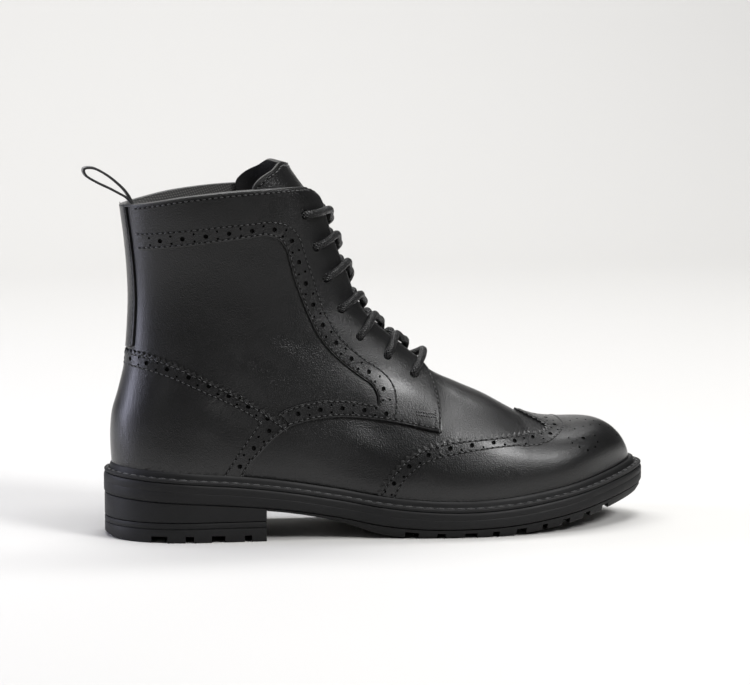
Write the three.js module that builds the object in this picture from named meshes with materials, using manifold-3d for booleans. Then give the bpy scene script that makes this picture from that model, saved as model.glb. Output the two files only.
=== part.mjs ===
import * as THREE from 'three';
import Module from 'manifold-3d';
import { mergeVertices } from 'three/addons/utils/BufferGeometryUtils.js';

const wasm = await Module();
wasm.setup();

// Right boot in millimetres: toe along +X, outer side at -Y, floor at z = 0.
// The origin lies on the floor under the middle of the heel.
const soleLength = 304; // back of the sole to its tip
const ballWidth = 107; // sole across the ball of the foot
const legWidth = 67; // leg across the ankle bones
const instepHeight = 100; // welt to the bend of the ankle
const legRise = 62; // bend of the ankle to the front of the collar
const heelRise = 20.7; // how much the welt climbs from ball to heel
const toeSpring = 15.7; // how much it climbs from ball to toe
const ballThickness = 15.8; // floor to the welt's top at the ball

const gap = 0.34; // clearance between seated pieces
const upperWall = 2.8; // quarter and lining together
const quarterStep = 0.8; // quarter standing over the vamp
const overlayThickness = 1.0;
const tongueThickness = 2.0;
const insoleThickness = 2.4;

const edgeReach = 6.8; // sole edge outside the upper
const edgeHeight = 12; // depth of the sole's side at the heel
const weltThickness = 1.9;
const beadHeight = 3.6;
const beadReach = 3.0;
const treadDepth = 4.8;
const treadSheet = 1.7;
const heelBreast = 0.273; // share of the sole length
const liftHeight = 10.6;
const liftGroove = 7.5; // height of the fine groove in the lift
const heelGrooveDepth = 3.6;

const laceHoleDiameter = 5.4;
const laceDiameter = 4.4;
const loopWidth = 10;
const loopThickness = 1.3;
const stripWidth = 19; // back strip across

const heelShare = 0.15; // origin, as a share of the sole length
const frontShare = 0.617; // instep within the table heights
const seatDrop = -1.4; // upper's lower edge under the welt's top
const footing = -9; // form carried on below the upper

// Sole line by stations. rise: share of heel rise; spring: share of toe spring;
// side: share of the edge height; tread: share of the tread depth.
const soleRows = [
  { along: 0.0, rise: 1.0, spring: 0, side: 1.1, tread: 0.25 },
  { along: 0.068, rise: 0.928, spring: 0, side: 1.07, tread: 0.25 },
  { along: 0.15, rise: 0.841, spring: 0, side: 1.035, tread: 0.25 },
  { along: 0.232, rise: 0.744, spring: 0, side: 1.02, tread: 0.25 },
  { along: 0.314, rise: 0.589, spring: 0, side: 0.965, tread: 0.26 },
  { along: 0.397, rise: 0.377, spring: 0, side: 0.95, tread: 0.4 },
  { along: 0.479, rise: 0.155, spring: 0, side: 0.985, tread: 0.98 },
  { along: 0.561, rise: 0.029, spring: 0, side: 0.955, tread: 1 },
  { along: 0.643, rise: 0, spring: 0, side: 0.917, tread: 1 },
  { along: 0.726, rise: 0, spring: 0.096, side: 0.94, tread: 1 },
  { along: 0.808, rise: 0, spring: 0.306, side: 0.95, tread: 1 },
  { along: 0.89, rise: 0, spring: 0.586, side: 0.92, tread: 0.95 },
  { along: 0.995, rise: 0, spring: 0.995, side: 0.92, tread: 0.85 },
];

// Foot by stations. half and swing: shares of the ball width; widest: height
// of the widest line, share of the instep; full: how square the top is.
const footRows = [
  { along: 0.0, half: 0.28, swing: 0.0, widest: 0.155, full: 1.6 },
  { along: 0.15, half: 0.299, swing: 0.0, widest: 0.155, full: 1.6 },
  { along: 0.282, half: 0.299, swing: -0.014, widest: 0.155, full: 1.6 },
  { along: 0.347, half: 0.294, swing: -0.028, widest: 0.155, full: 1.6 },
  { along: 0.43, half: 0.313, swing: -0.037, widest: 0.145, full: 1.6 },
  { along: 0.512, half: 0.36, swing: -0.042, widest: 0.135, full: 1.6 },
  { along: 0.594, half: 0.407, swing: -0.033, widest: 0.125, full: 1.65 },
  { along: 0.66, half: 0.43, swing: -0.019, widest: 0.12, full: 1.8 },
  { along: 0.726, half: 0.43, swing: 0.0, widest: 0.115, full: 2.0 },
  { along: 0.791, half: 0.411, swing: 0.023, widest: 0.115, full: 2.2 },
  { along: 0.857, half: 0.383, swing: 0.047, widest: 0.115, full: 2.4 },
  { along: 0.913, half: 0.336, swing: 0.065, widest: 0.115, full: 2.5 },
  { along: 0.979, half: 0.28, swing: 0.084, widest: 0.105, full: 2.5 },
];

// Leg by heights over the welt. up: share of instep and leg together;
// half: share of the leg width; widest: place of the widest line.
const legRows = [
  { up: -0.093, half: 0.487, widest: 0.163 },
  { up: -0.031, half: 0.493, widest: 0.163 },
  { up: 0.062, half: 0.507, widest: 0.163 },
  { up: 0.154, half: 0.501, widest: 0.17 },
  { up: 0.247, half: 0.487, widest: 0.183 },
  { up: 0.34, half: 0.478, widest: 0.209 },
  { up: 0.432, half: 0.47, widest: 0.222 },
  { up: 0.525, half: 0.46, widest: 0.229 },
  { up: 0.648, half: 0.466, widest: 0.226 },
  { up: 0.772, half: 0.493, widest: 0.216 },
  { up: 0.895, half: 0.53, widest: 0.209 },
  { up: 1.049, half: 0.56, widest: 0.203 },
  { up: 1.173, half: 0.567, widest: 0.199 },
];

// Back line of the form, heel seat to above the collar.
const backRows = [
  { up: -0.098, along: 0.0211 },
  { up: 0.001, along: 0.0184 },
  { up: 0.063, along: 0.0161 },
  { up: 0.131, along: 0.0158 },
  { up: 0.199, along: 0.0197 },
  { up: 0.248, along: 0.0276 },
  { up: 0.3, along: 0.0349 },
  { up: 0.35, along: 0.0408 },
  { up: 0.4, along: 0.0434 },
  { up: 0.489, along: 0.047 },
  { up: 0.581, along: 0.049 },
  { up: 0.674, along: 0.0474 },
  { up: 0.767, along: 0.0434 },
  { up: 0.878, along: 0.0362 },
  { up: 1.044, along: 0.0266 },
  { up: 1.168, along: 0.0201 },
];

// Front line of the form, above the collar down the instep to the toe.
const frontRows = [
  { along: 0.298, up: 1.211 },
  { along: 0.3401, up: 1.0877 },
  { along: 0.3572, up: 1.0451 },
  { along: 0.372, up: 1.0136 },
  { along: 0.3836, up: 0.9932 },
  { along: 0.3934, up: 0.9704 },
  { along: 0.3987, up: 0.9407 },
  { along: 0.4069, up: 0.8944 },
  { along: 0.4171, up: 0.8426 },
  { along: 0.4306, up: 0.7932 },
  { along: 0.4414, up: 0.7432 },
  { along: 0.4553, up: 0.6765 },
  { along: 0.474, up: 0.6179 },
  { along: 0.4938, up: 0.5827 },
  { along: 0.5217, up: 0.5432 },
  { along: 0.548, up: 0.5074 },
  { along: 0.576, up: 0.4679 },
  { along: 0.599, up: 0.4333 },
  { along: 0.6434, up: 0.3944 },
  { along: 0.6928, up: 0.3488 },
  { along: 0.7421, up: 0.2901 },
  { along: 0.7569, up: 0.2728 },
  { along: 0.798, up: 0.2377 },
  { along: 0.8342, up: 0.2179 },
  { along: 0.8671, up: 0.2049 },
  { along: 0.9066, up: 0.1926 },
  { along: 0.9395, up: 0.1802 },
  { along: 0.975, up: 0.1654 },
];
const toeShare = 0.975; // tip of the form
const toeRound = 0.854; // where the toe's end rounding begins
const toeTaper = 0.7915; // where its plan rounding begins

// Section planes of the form, toe to collar. A plane runs from its low end on
// the footing (low: along) or the back line (back: up) to its high end on the
// front line (high: along, or crest: up).
const sectionRows = [
  { low: 0.9735, high: 0.9735 },
  { low: 0.966, high: 0.966 },
  { low: 0.949, high: 0.949 },
  { low: 0.923, high: 0.923 },
  { low: 0.888, high: 0.888 },
  { low: 0.845, high: 0.845 },
  { low: 0.797, high: 0.797 },
  { low: 0.744, high: 0.744 },
  { low: 0.688, high: 0.688 },
  { low: 0.632, high: 0.634 },
  { low: 0.575, high: 0.585 },
  { low: 0.514, high: 0.545 },
  { low: 0.446, high: 0.508 },
  { low: 0.374, crest: 0.592 },
  { low: 0.3, crest: 0.64 },
  { low: 0.228, crest: 0.683 },
  { low: 0.16, crest: 0.721 },
  { low: 0.103, crest: 0.754 },
  { low: 0.059, crest: 0.78 },
  { low: 0.032, crest: 0.8 },
  { back: -0.0556, crest: 0.818 },
  { back: 0.08, crest: 0.845 },
  { back: 0.19, crest: 0.874 },
  { back: 0.3, crest: 0.905 },
  { back: 0.43, crest: 0.938 },
  { back: 0.58, crest: 0.968 },
  { back: 0.74, crest: 1.0 },
  { back: 0.9, crest: 1.05 },
  { back: 1.06, crest: 1.14 },
];
const sideSteps = 8; // facets from the front line down each side

// Edges drawn on the side of the boot, as side-view points.
const collarLine = [
  { along: -0.05, up: 0.868 },
  { along: 0.032, up: 0.8845 },
  { along: 0.14, up: 0.933 },
  { along: 0.26, up: 0.974 },
  { along: 0.34, up: 0.999 },
  { along: 0.42, up: 1.012 },
];
const facingLine = [
  { along: 0.345, up: 1.06 },
  { along: 0.3595, up: 1.0 },
  { along: 0.3727, up: 0.9889 },
  { along: 0.3862, up: 0.9691 },
  { along: 0.3925, up: 0.925 },
  { along: 0.4092, up: 0.8346 },
  { along: 0.4329, up: 0.7364 },
  { along: 0.4464, up: 0.6722 },
  { along: 0.4632, up: 0.621 },
  { along: 0.5003, up: 0.5611 },
  { along: 0.5273, up: 0.5247 },
  { along: 0.5513, up: 0.4932 },
  { along: 0.575, up: 0.463 },
  { along: 0.5865, up: 0.425 },
  { along: 0.5934, up: 0.3241 },
  { along: 0.59, up: 0.248 },
];
const quarterLine = [
  { along: 0.574, up: 0.2525 },
  { along: 0.524, up: 0.267 },
  { along: 0.472, up: 0.272 },
  { along: 0.413, up: 0.2636 },
  { along: 0.352, up: 0.2333 },
  { along: 0.3197, up: 0.2074 },
];
const panelLine = [
  { along: 0.02, up: 0.735 },
  { along: 0.152, up: 0.778 },
  { along: 0.2918, up: 0.8309 },
  { along: 0.309, up: 0.806 },
  { along: 0.3289, up: 0.6944 },
  { along: 0.3434, up: 0.6302 },
  { along: 0.3757, up: 0.5099 },
  { along: 0.4, up: 0.461 },
  { along: 0.473, up: 0.3821 },
  { along: 0.4806, up: 0.3574 },
  { along: 0.4796, up: 0.3216 },
  { along: 0.4135, up: 0.3198 },
  { along: 0.3464, up: 0.2895 },
  { along: 0.3023, up: 0.2537 },
];
const counterTop = [
  { along: -0.02, up: 0.4068 },
  { along: 0.0638, up: 0.4105 },
  { along: 0.1345, up: 0.3728 },
  { along: 0.2086, up: 0.3136 },
  { along: 0.2615, up: 0.2698 },
  { along: 0.2895, up: 0.234 },
  { along: 0.3141, up: 0.2068 },
  { along: 0.2691, up: 0.1142 },
  { along: 0.235, up: 0.02 },
];
const wingLine = [
  { along: 0.4745, up: 0.01 },
  { along: 0.4776, up: 0.037 },
  { along: 0.4931, up: 0.0883 },
  { along: 0.5112, up: 0.1302 },
  { along: 0.5309, up: 0.1648 },
  { along: 0.5576, up: 0.1944 },
  { along: 0.5911, up: 0.216 },
  { along: 0.625, up: 0.2228 },
  { along: 0.6592, up: 0.2247 },
  { along: 0.6947, up: 0.2247 },
  { along: 0.751, up: 0.2191 },
  { along: 1.05, up: 0.219 },
];
// Peak of the wing seen from above. out: share of the ball width.
const peakLine = [
  { along: 0.757, out: 0.0 },
  { along: 0.7714, out: 0.065 },
  { along: 0.7908, out: 0.121 },
  { along: 0.8003, out: 0.178 },
  { along: 0.7891, out: 0.224 },
  { along: 0.751, out: 0.299 },
  { along: 0.7, out: 0.37 },
];
const holeRows = [
  { along: 0.3487, up: 0.913 },
  { along: 0.3694, up: 0.8123 },
  { along: 0.3882, up: 0.7142 },
  { along: 0.4161, up: 0.6179 },
  { along: 0.45, up: 0.5358 },
  { along: 0.5007, up: 0.4821 },
  { along: 0.5497, up: 0.4253 },
];
const tongueLine = [
  { along: 0.62, up: 0.5 },
  { along: 0.54, up: 0.38 },
  { along: 0.43, up: 0.5 },
  { along: 0.345, up: 0.7 },
  { along: 0.27, up: 0.9 },
  { along: 0.257, up: 0.985 },
  { along: 0.2661, up: 1.027 },
  { along: 0.2806, up: 1.058 },
  { along: 0.2964, up: 1.084 },
  { along: 0.36, up: 1.1 },
];

// Grooves between the lugs. width: share of the sole length.
const heelGrooves = [
  { along: 0.0847, width: 0.0275 },
  { along: 0.137, width: 0.015 },
  { along: 0.1875, width: 0.024 },
  { along: 0.2405, width: 0.013 },
];
const treadGrooves = [
  { along: 0.5295, width: 0.024 },
  { along: 0.5815, width: 0.015 },
  { along: 0.6345, width: 0.022 },
  { along: 0.6805, width: 0.012 },
  { along: 0.728, width: 0.019 },
  { along: 0.7735, width: 0.01 },
  { along: 0.815, width: 0.015 },
  { along: 0.858, width: 0.014 },
  { along: 0.9, width: 0.014 },
];

const material = (color, roughness, metalness = 0) =>
  new THREE.MeshStandardMaterial({ color, roughness, metalness });

const clamp = (value, low, high) => Math.min(Math.max(value, low), high);
const mix = (a, b, share) => a + (b - a) * share;
const smooth = (share) => {
  const t = clamp(share, 0, 1);
  return t * t * (3 - 2 * t);
};

// Smooth curve through the rows of a table.
const curve = (rows, from, to) => {
  const last = rows.length - 1;
  const at = rows.map((row) => row[from]);
  const value = rows.map((row) => row[to]);
  const slope = at.slice(1).map((next, i) => (value[i + 1] - value[i]) / (next - at[i]));
  const lean = at.map((_, i) => {
    if (i === 0) return slope[0];
    if (i === last) return slope[last - 1];
    const before = at[i] - at[i - 1];
    const after = at[i + 1] - at[i];
    return (slope[i - 1] * after + slope[i] * before) / (before + after);
  });
  return (where) => {
    const w = clamp(where, at[0], at[last]);
    let i = 0;
    while (i < last - 1 && w > at[i + 1]) i += 1;
    const span = at[i + 1] - at[i];
    const t = (w - at[i]) / span;
    const rest = 1 - t;
    return (
      (1 + 2 * t) * rest * rest * value[i] +
      t * rest * rest * span * lean[i] +
      t * t * (3 - 2 * t) * value[i + 1] -
      t * t * rest * span * lean[i + 1]
    );
  };
};

const xAt = (along) => (along - heelShare) * soleLength;
const alongAt = (x) => x / soleLength + heelShare;
const heightAt = (up) =>
  up < frontShare
    ? (up / frontShare) * instepHeight
    : instepHeight + ((up - frontShare) / (1 - frontShare)) * legRise;
const upAt = (height) =>
  height < instepHeight
    ? (height / instepHeight) * frontShare
    : frontShare + ((height - instepHeight) / legRise) * (1 - frontShare);

const riseShare = curve(soleRows, 'along', 'rise');
const springShare = curve(soleRows, 'along', 'spring');
const sideShare = curve(soleRows, 'along', 'side');
const treadShare = curve(soleRows, 'along', 'tread');
const weltTop = (x) =>
  ballThickness + heelRise * riseShare(alongAt(x)) + toeSpring * springShare(alongAt(x));
const seatTop = (x) => weltTop(x) - weltThickness;
const midsoleUnder = (x) => weltTop(x) - edgeHeight * sideShare(alongAt(x));
const treadTop = (x) => midsoleUnder(x) - gap;
const treadUnder = (x) => Math.max(0, midsoleUnder(x) - treadDepth * treadShare(alongAt(x)) - 0.45);

// The boot's form: half width and middle line at a place x and a height over the welt.
const footHalf = curve(footRows, 'along', 'half');
const footSwing = curve(footRows, 'along', 'swing');
const footWidest = curve(footRows, 'along', 'widest');
const footFull = curve(footRows, 'along', 'full');
const legHalf = curve(legRows, 'up', 'half');
const legWidest = curve(legRows, 'up', 'widest');
const backAlong = curve(backRows, 'up', 'along');

const frontReach = frontRows.map((row, i) => ({ ...row, reach: i }));
const frontAlongCurve = curve(frontReach, 'reach', 'along');
const frontUpCurve = curve(frontReach, 'reach', 'up');
const solve = (line, target) => {
  let low = 0;
  let high = frontRows.length - 1;
  const rising = line(high) > line(low);
  for (let step = 0; step < 40; step += 1) {
    const middle = (low + high) / 2;
    if (line(middle) < target === rising) low = middle;
    else high = middle;
  }
  return (low + high) / 2;
};
const frontUp = (along) => frontUpCurve(solve(frontAlongCurve, along));
const frontAlong = (up) => frontAlongCurve(solve(frontUpCurve, up));

const crest = (along) => {
  const end = clamp((along - toeRound) / (toeShare - toeRound), 0, 1);
  const top = heightAt(frontUp(along));
  return seatDrop + (top - seatDrop) * Math.sqrt(1 - end ** 2.9);
};

const footForm = (along, height) => {
  const top = crest(along);
  const widest = Math.min(footWidest(along) * instepHeight, 0.45 * (top - seatDrop) + 1e-6);
  const taper = clamp((along - toeTaper) / (toeShare - toeTaper), 0, 1);
  const half = footHalf(along) * ballWidth * Math.sqrt(1 - taper * taper);
  const over = height - seatDrop - widest;
  if (over > 0) {
    const share = clamp(over / Math.max(top - seatDrop - widest, 1e-6), 0, 1);
    return half * Math.sqrt(1 - share ** footFull(along));
  }
  return half * (1 - 0.045 * clamp(-over / widest, 0, 1.6) ** 2);
};

const legForm = (along, up) => {
  const widest = legWidest(up);
  const half = legHalf(up) * legWidth;
  if (along < widest) {
    const share = clamp((widest - along) / (widest - backAlong(up)), 0, 1);
    return half * Math.sqrt(1 - share ** 2.15);
  }
  const share = clamp((along - widest) / (frontAlong(up) - widest), 0, 1);
  return half * Math.sqrt(1 - share ** 2.1);
};

const sideOf = (x, height, side) => {
  const along = alongAt(x);
  const up = upAt(height);
  const foot = smooth((along - 0.4066 - 0.506 * (up - 0.074) + 0.125) / 0.25);
  const half = mix(legForm(along, up), footForm(along, height), foot);
  const middle = footSwing(along) * ballWidth * clamp(1.333 - up * 2.7, 0, 1);
  return middle + side * half;
};

const lateral = -1;
const medial = 1;
const formPoint = (x, height, side) =>
  new THREE.Vector3(x, sideOf(x, height, side), height + weltTop(x));

// Grid of the form: one row of points per section plane, crest first, then
// down each side. Rows that end on the back line share their last point.
const sections = sectionRows.map((row) => {
  const onBack = row.back !== undefined;
  const lowHeight = onBack ? Math.max(heightAt(row.back), footing) : footing;
  const lowX = onBack ? xAt(backAlong(upAt(lowHeight))) : xAt(row.low);
  const highX = row.high !== undefined ? xAt(row.high) : xAt(frontAlong(row.crest));
  const highHeight = row.high !== undefined ? crest(row.high) : heightAt(row.crest);
  const round = onBack ? 1 : clamp((0.2 - row.low) / 0.18, 0, 1);
  const points = (side) =>
    Array.from({ length: sideSteps + 1 }, (_, step) => {
      const share = step / sideSteps;
      const open = 1 - Math.cos((Math.PI * share) / 2);
      const closed = (1 - Math.cos(Math.PI * share)) / 2;
      const down = mix(open, closed, round);
      const x = mix(highX, lowX, down);
      const height = mix(highHeight, lowHeight, down);
      const point = formPoint(x, height, side);
      if (step === 0 || (onBack && step === sideSteps)) {
        point.y = (sideOf(x, height, lateral) + sideOf(x, height, medial)) / 2;
      }
      return point;
    });
  return { onBack, lateral: points(lateral), medial: points(medial) };
});

const gridPoint = (row, step, side) => {
  const section = sections[row];
  if (step < 0) return gridPoint(row, -step, -side);
  if (step > sideSteps) {
    return section.onBack ? gridPoint(row, 2 * sideSteps - step, -side) : null;
  }
  return side === lateral ? section.lateral[step] : section.medial[step];
};

// Difference across a point, weighted by the two spans beside it.
const tangent = (before, here, after) => {
  if (!before) return after.clone().sub(here).normalize();
  if (!after) return here.clone().sub(before).normalize();
  const back = here.clone().sub(before);
  const ahead = after.clone().sub(here);
  const a = back.length();
  const b = ahead.length();
  return back.multiplyScalar(b / a).add(ahead.multiplyScalar(a / b)).normalize();
};

const normalAt = (row, step, side) => {
  const here = gridPoint(row, step, side);
  const before = row > 0 ? gridPoint(row - 1, step, side) : null;
  const after = row < sections.length - 1 ? gridPoint(row + 1, step, side) : null;
  const forward = tangent(before, here, after);
  const down = tangent(gridPoint(row, step - 1, side), here, gridPoint(row, step + 1, side));
  const normal = forward.cross(down).multiplyScalar(-side);
  return normal.normalize();
};

const toSolid = (positions, indices) => {
  const vertices = new Float32Array(positions);
  let triangles = new Uint32Array(indices);
  let volume = 0;
  const corner = (i) => new THREE.Vector3().fromArray(vertices, triangles[i] * 3);
  for (let i = 0; i < triangles.length; i += 3) {
    volume += corner(i).dot(corner(i + 1).cross(corner(i + 2)));
  }
  if (volume < 0) triangles = triangles.reverse();
  return new wasm.Manifold(
    new wasm.Mesh({ numProp: 3, vertProperties: vertices, triVerts: triangles }),
  );
};

const geometrySolid = (geometry) => {
  geometry.deleteAttribute('normal');
  geometry.deleteAttribute('uv');
  const merged = mergeVertices(geometry, 1e-5);
  return toSolid(merged.attributes.position.array, merged.index.array);
};

// The form grown outward by an offset, as one closed solid.
const offsetForm = (offset) => {
  const positions = [];
  const ids = new Map();
  const id = (row, step, side) => {
    const shared = step === 0 || (sections[row].onBack && step === sideSteps);
    const key = `${row}/${step}/${shared ? 0 : side}`;
    if (!ids.has(key)) {
      const point = gridPoint(row, step, side).clone();
      point.addScaledVector(normalAt(row, step, side), offset);
      ids.set(key, positions.length / 3);
      positions.push(point.x, point.y, point.z);
    }
    return ids.get(key);
  };
  const indices = [];
  const face = (a, b, c) => {
    if (a !== b && b !== c && a !== c) indices.push(a, b, c);
  };
  const quad = (a, b, c, d) => {
    face(a, b, c);
    face(a, c, d);
  };
  const last = sections.length - 1;
  for (let row = 0; row < last; row += 1) {
    for (let step = 0; step < sideSteps; step += 1) {
      const l = [id(row, step, -1), id(row + 1, step, -1)];
      const m = [id(row, step, 1), id(row + 1, step, 1)];
      const l2 = [id(row, step + 1, -1), id(row + 1, step + 1, -1)];
      const m2 = [id(row, step + 1, 1), id(row + 1, step + 1, 1)];
      quad(l[0], l[1], l2[1], l2[0]);
      quad(m[1], m[0], m2[0], m2[1]);
    }
    const left = [id(row, sideSteps, -1), id(row + 1, sideSteps, -1)];
    const right = [id(row, sideSteps, 1), id(row + 1, sideSteps, 1)];
    quad(left[0], left[1], right[1], right[0]);
  }
  for (let step = 0; step < sideSteps; step += 1) {
    quad(id(0, step, -1), id(0, step + 1, -1), id(0, step + 1, 1), id(0, step, 1));
    quad(id(last, step, 1), id(last, step + 1, 1), id(last, step + 1, -1), id(last, step, -1));
  }
  return toSolid(positions, indices);
};

const shell = (inner, outer) => offsetForm(outer).subtract(offsetForm(inner));

// Prism seen from the side: points in x and z, run from one y to another.
const sidePrism = (points, from = -200, to = 200) => {
  const shape = new THREE.Shape(points.map((p) => new THREE.Vector2(p.x, p.z)));
  const geometry = new THREE.ExtrudeGeometry(shape, {
    depth: to - from,
    bevelEnabled: false,
  });
  geometry.rotateX(Math.PI / 2);
  geometry.translate(0, to, 0);
  return geometrySolid(geometry);
};

const planPrism = (points, from, to) => {
  const shape = new THREE.Shape(points.map((p) => new THREE.Vector2(p.x, p.y)));
  const geometry = new THREE.ExtrudeGeometry(shape, {
    depth: to - from,
    bevelEnabled: false,
  });
  geometry.translate(0, 0, from);
  return geometrySolid(geometry);
};

const box = (x0, x1, y0, y1, z0, z1) => {
  const geometry = new THREE.BoxGeometry(x1 - x0, y1 - y0, z1 - z0);
  geometry.translate((x0 + x1) / 2, (y0 + y1) / 2, (z0 + z1) / 2);
  return geometrySolid(geometry);
};

const sideView = (rows) =>
  rows.map((row) => {
    const x = xAt(row.along);
    return { x, z: heightAt(row.up) + weltTop(x) };
  });

// Points along the sole at a level given by a function of x.
const levelLine = (from, to, count, level) =>
  Array.from({ length: count + 1 }, (_, i) => {
    const x = mix(xAt(from), xAt(to), i / count);
    return { x, z: level(x) };
  });

const underLine = levelLine(-0.1, 1.1, 20, (x) => weltTop(x) + seatDrop);
const belowSeat = sidePrism([...underLine, { x: 400, z: -60 }, { x: -150, z: -60 }]);
const beadLine = levelLine(-0.1, 1.1, 20, (x) => weltTop(x) + beadHeight + gap + 0.1);
const belowBead = sidePrism([...beadLine, { x: 400, z: -60 }, { x: -150, z: -60 }]);
const collarPoints = sideView(collarLine);
const aboveCollar = sidePrism([...collarPoints, { x: 300, z: 420 }, { x: -150, z: 420 }]);

// Upper: vamp and quarters in one hollow wall.
const quarterEnd = [
  { along: 0.26, up: -0.02 },
  { along: 0.25, up: -0.1 },
  { along: -0.1, up: -0.1 },
  { along: -0.1, up: 1.3 },
];
const quarterRegion = sidePrism(
  sideView([...facingLine, ...quarterLine, ...quarterEnd, { along: 0.33, up: 1.3 }]),
);
const throatRows = facingLine.slice(0, 11);
const throat = sidePrism(
  sideView([
    ...throatRows,
    { along: 0.556, up: 0.6 },
    { along: 0.62, up: 0.75 },
    { along: 0.62, up: 1.4 },
    { along: 0.33, up: 1.4 },
  ]),
);
const vampFace = -quarterStep;
const upperOutside = offsetForm(0).intersect(quarterRegion).add(offsetForm(vampFace));

// Lace holes and the frame of the surface around each one.
const surfaceFrame = (x, height, side) => {
  const small = 0.5;
  const point = formPoint(x, height, side);
  const ahead = formPoint(x + small, height, side).sub(formPoint(x - small, height, side));
  const rise = formPoint(x, height + small, side).sub(formPoint(x, height - small, side));
  const normal = rise.cross(ahead).multiplyScalar(side).normalize();
  return { point, normal };
};
const holes = holeRows.map((row) => {
  const x = xAt(row.along);
  const height = heightAt(row.up);
  return { x, height, sides: [lateral, medial].map((side) => surfaceFrame(x, height, side)) };
});
const punches = holes.flatMap((hole) =>
  hole.sides.map(({ point, normal }) => {
    const radius = laceHoleDiameter / 2;
    const geometry = new THREE.CylinderGeometry(radius, radius, 14, 6);
    const turn = new THREE.Quaternion().setFromUnitVectors(new THREE.Vector3(0, 1, 0), normal);
    geometry.applyQuaternion(turn);
    geometry.translate(point.x, point.y, point.z);
    return geometrySolid(geometry);
  }),
);
const union = (solids) => solids.reduce((all, solid) => all.add(solid));
const allPunches = union(punches);

const upperBody = upperOutside
  .subtract(offsetForm(-upperWall))
  .subtract(belowSeat)
  .subtract(aboveCollar)
  .subtract(throat)
  .subtract(allPunches);

// Overlays of one thickness, a clearance above the wall they cover.
const quarterOverlay = shell(gap, gap + overlayThickness).subtract(belowBead);
const vampOverlay = shell(vampFace + gap, vampFace + gap + overlayThickness).subtract(belowBead);

const counterRegion = sidePrism(sideView([...counterTop, { along: -0.08, up: 0.0 }]));
const counter = quarterOverlay.intersect(counterRegion);

const stayRows = [
  ...panelLine,
  { along: 0.3205, up: 0.2076 },
  ...quarterLine.slice(0, -1).reverse(),
  ...facingLine.slice(1).reverse(),
  { along: 0.345, up: 1.1 },
  { along: -0.08, up: 1.1 },
  { along: -0.08, up: 0.72 },
];
const halfStrip = stripWidth / 2;
const backBox = (reach) => box(-120, xAt(0.12), -reach, reach, 0, 300);
const stayOf = (side) => {
  const edges = side === lateral ? [-200, 0] : [0, 200];
  return quarterOverlay
    .intersect(sidePrism(sideView(stayRows), ...edges))
    .subtract(backBox(halfStrip + gap))
    .subtract(aboveCollar)
    .subtract(allPunches);
};
const stripRegion = sidePrism(
  sideView([
    { along: -0.08, up: 0.4068 + 0.004 },
    { along: 0.09, up: 0.4115 + 0.004 },
    { along: 0.09, up: 1.1 },
    { along: -0.08, up: 1.1 },
  ]),
  -halfStrip,
  halfStrip,
);
const backStrip = quarterOverlay.intersect(stripRegion).subtract(aboveCollar);

const peakPoints = peakLine.map((row) => ({ x: xAt(row.along), y: -row.out * ballWidth }));
const farPeak = peakLine
  .slice(1)
  .reverse()
  .map((row) => ({ x: xAt(row.along), y: row.out * ballWidth }));
const peakRegion = planPrism(
  [...farPeak, ...peakPoints, { x: xAt(1.05), y: -90 }, { x: xAt(1.05), y: 90 }],
  weltTop(xAt(0.757)) + 25,
  150,
);
const wingRegion = sidePrism([
  ...sideView(wingLine),
  { x: xAt(1.05), z: -40 },
  { x: xAt(0.4745), z: -40 },
]);
const toeCap = vampOverlay.intersect(wingRegion.add(peakRegion));

const tongueRegion = sidePrism(
  sideView([...tongueLine, { along: 0.6, up: 1.1 }, { along: 0.7, up: 0.6 }]),
);
const tongueFace = -upperWall - gap;
const tongueBody = shell(tongueFace - tongueThickness, tongueFace).intersect(tongueRegion);

// Sole outline by stations from heel to toe, and layers stacked on it.
const backX = xAt(backAlong(upAt(seatDrop)));
const toeX = xAt(toeShare);
const outlineCount = 21;
const outlineBase = (share, side, height) => {
  const x = mix(backX, toeX, (1 - Math.cos(Math.PI * clamp(share, 0, 1))) / 2);
  return new THREE.Vector2(x, sideOf(x, height, side));
};
const outlinePoint = (share, side, ring) => {
  const height = ring.height ?? seatDrop;
  const base = outlineBase(share, side, height);
  const wide = ring.close ?? ring.reach * (0.85 + 0.3 * alongAt(base.x));
  if (share === 0 || share === 1) {
    base.y = (sideOf(base.x, height, lateral) + sideOf(base.x, height, medial)) / 2;
    return base.add(new THREE.Vector2(share === 0 ? -wide : wide, 0));
  }
  const step = 0.006;
  const ahead = outlineBase(share + step, side, height);
  const along = ahead.sub(outlineBase(share - step, side, height)).normalize();
  return base.add(new THREE.Vector2(-along.y, along.x).multiplyScalar(side * wide));
};

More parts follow.
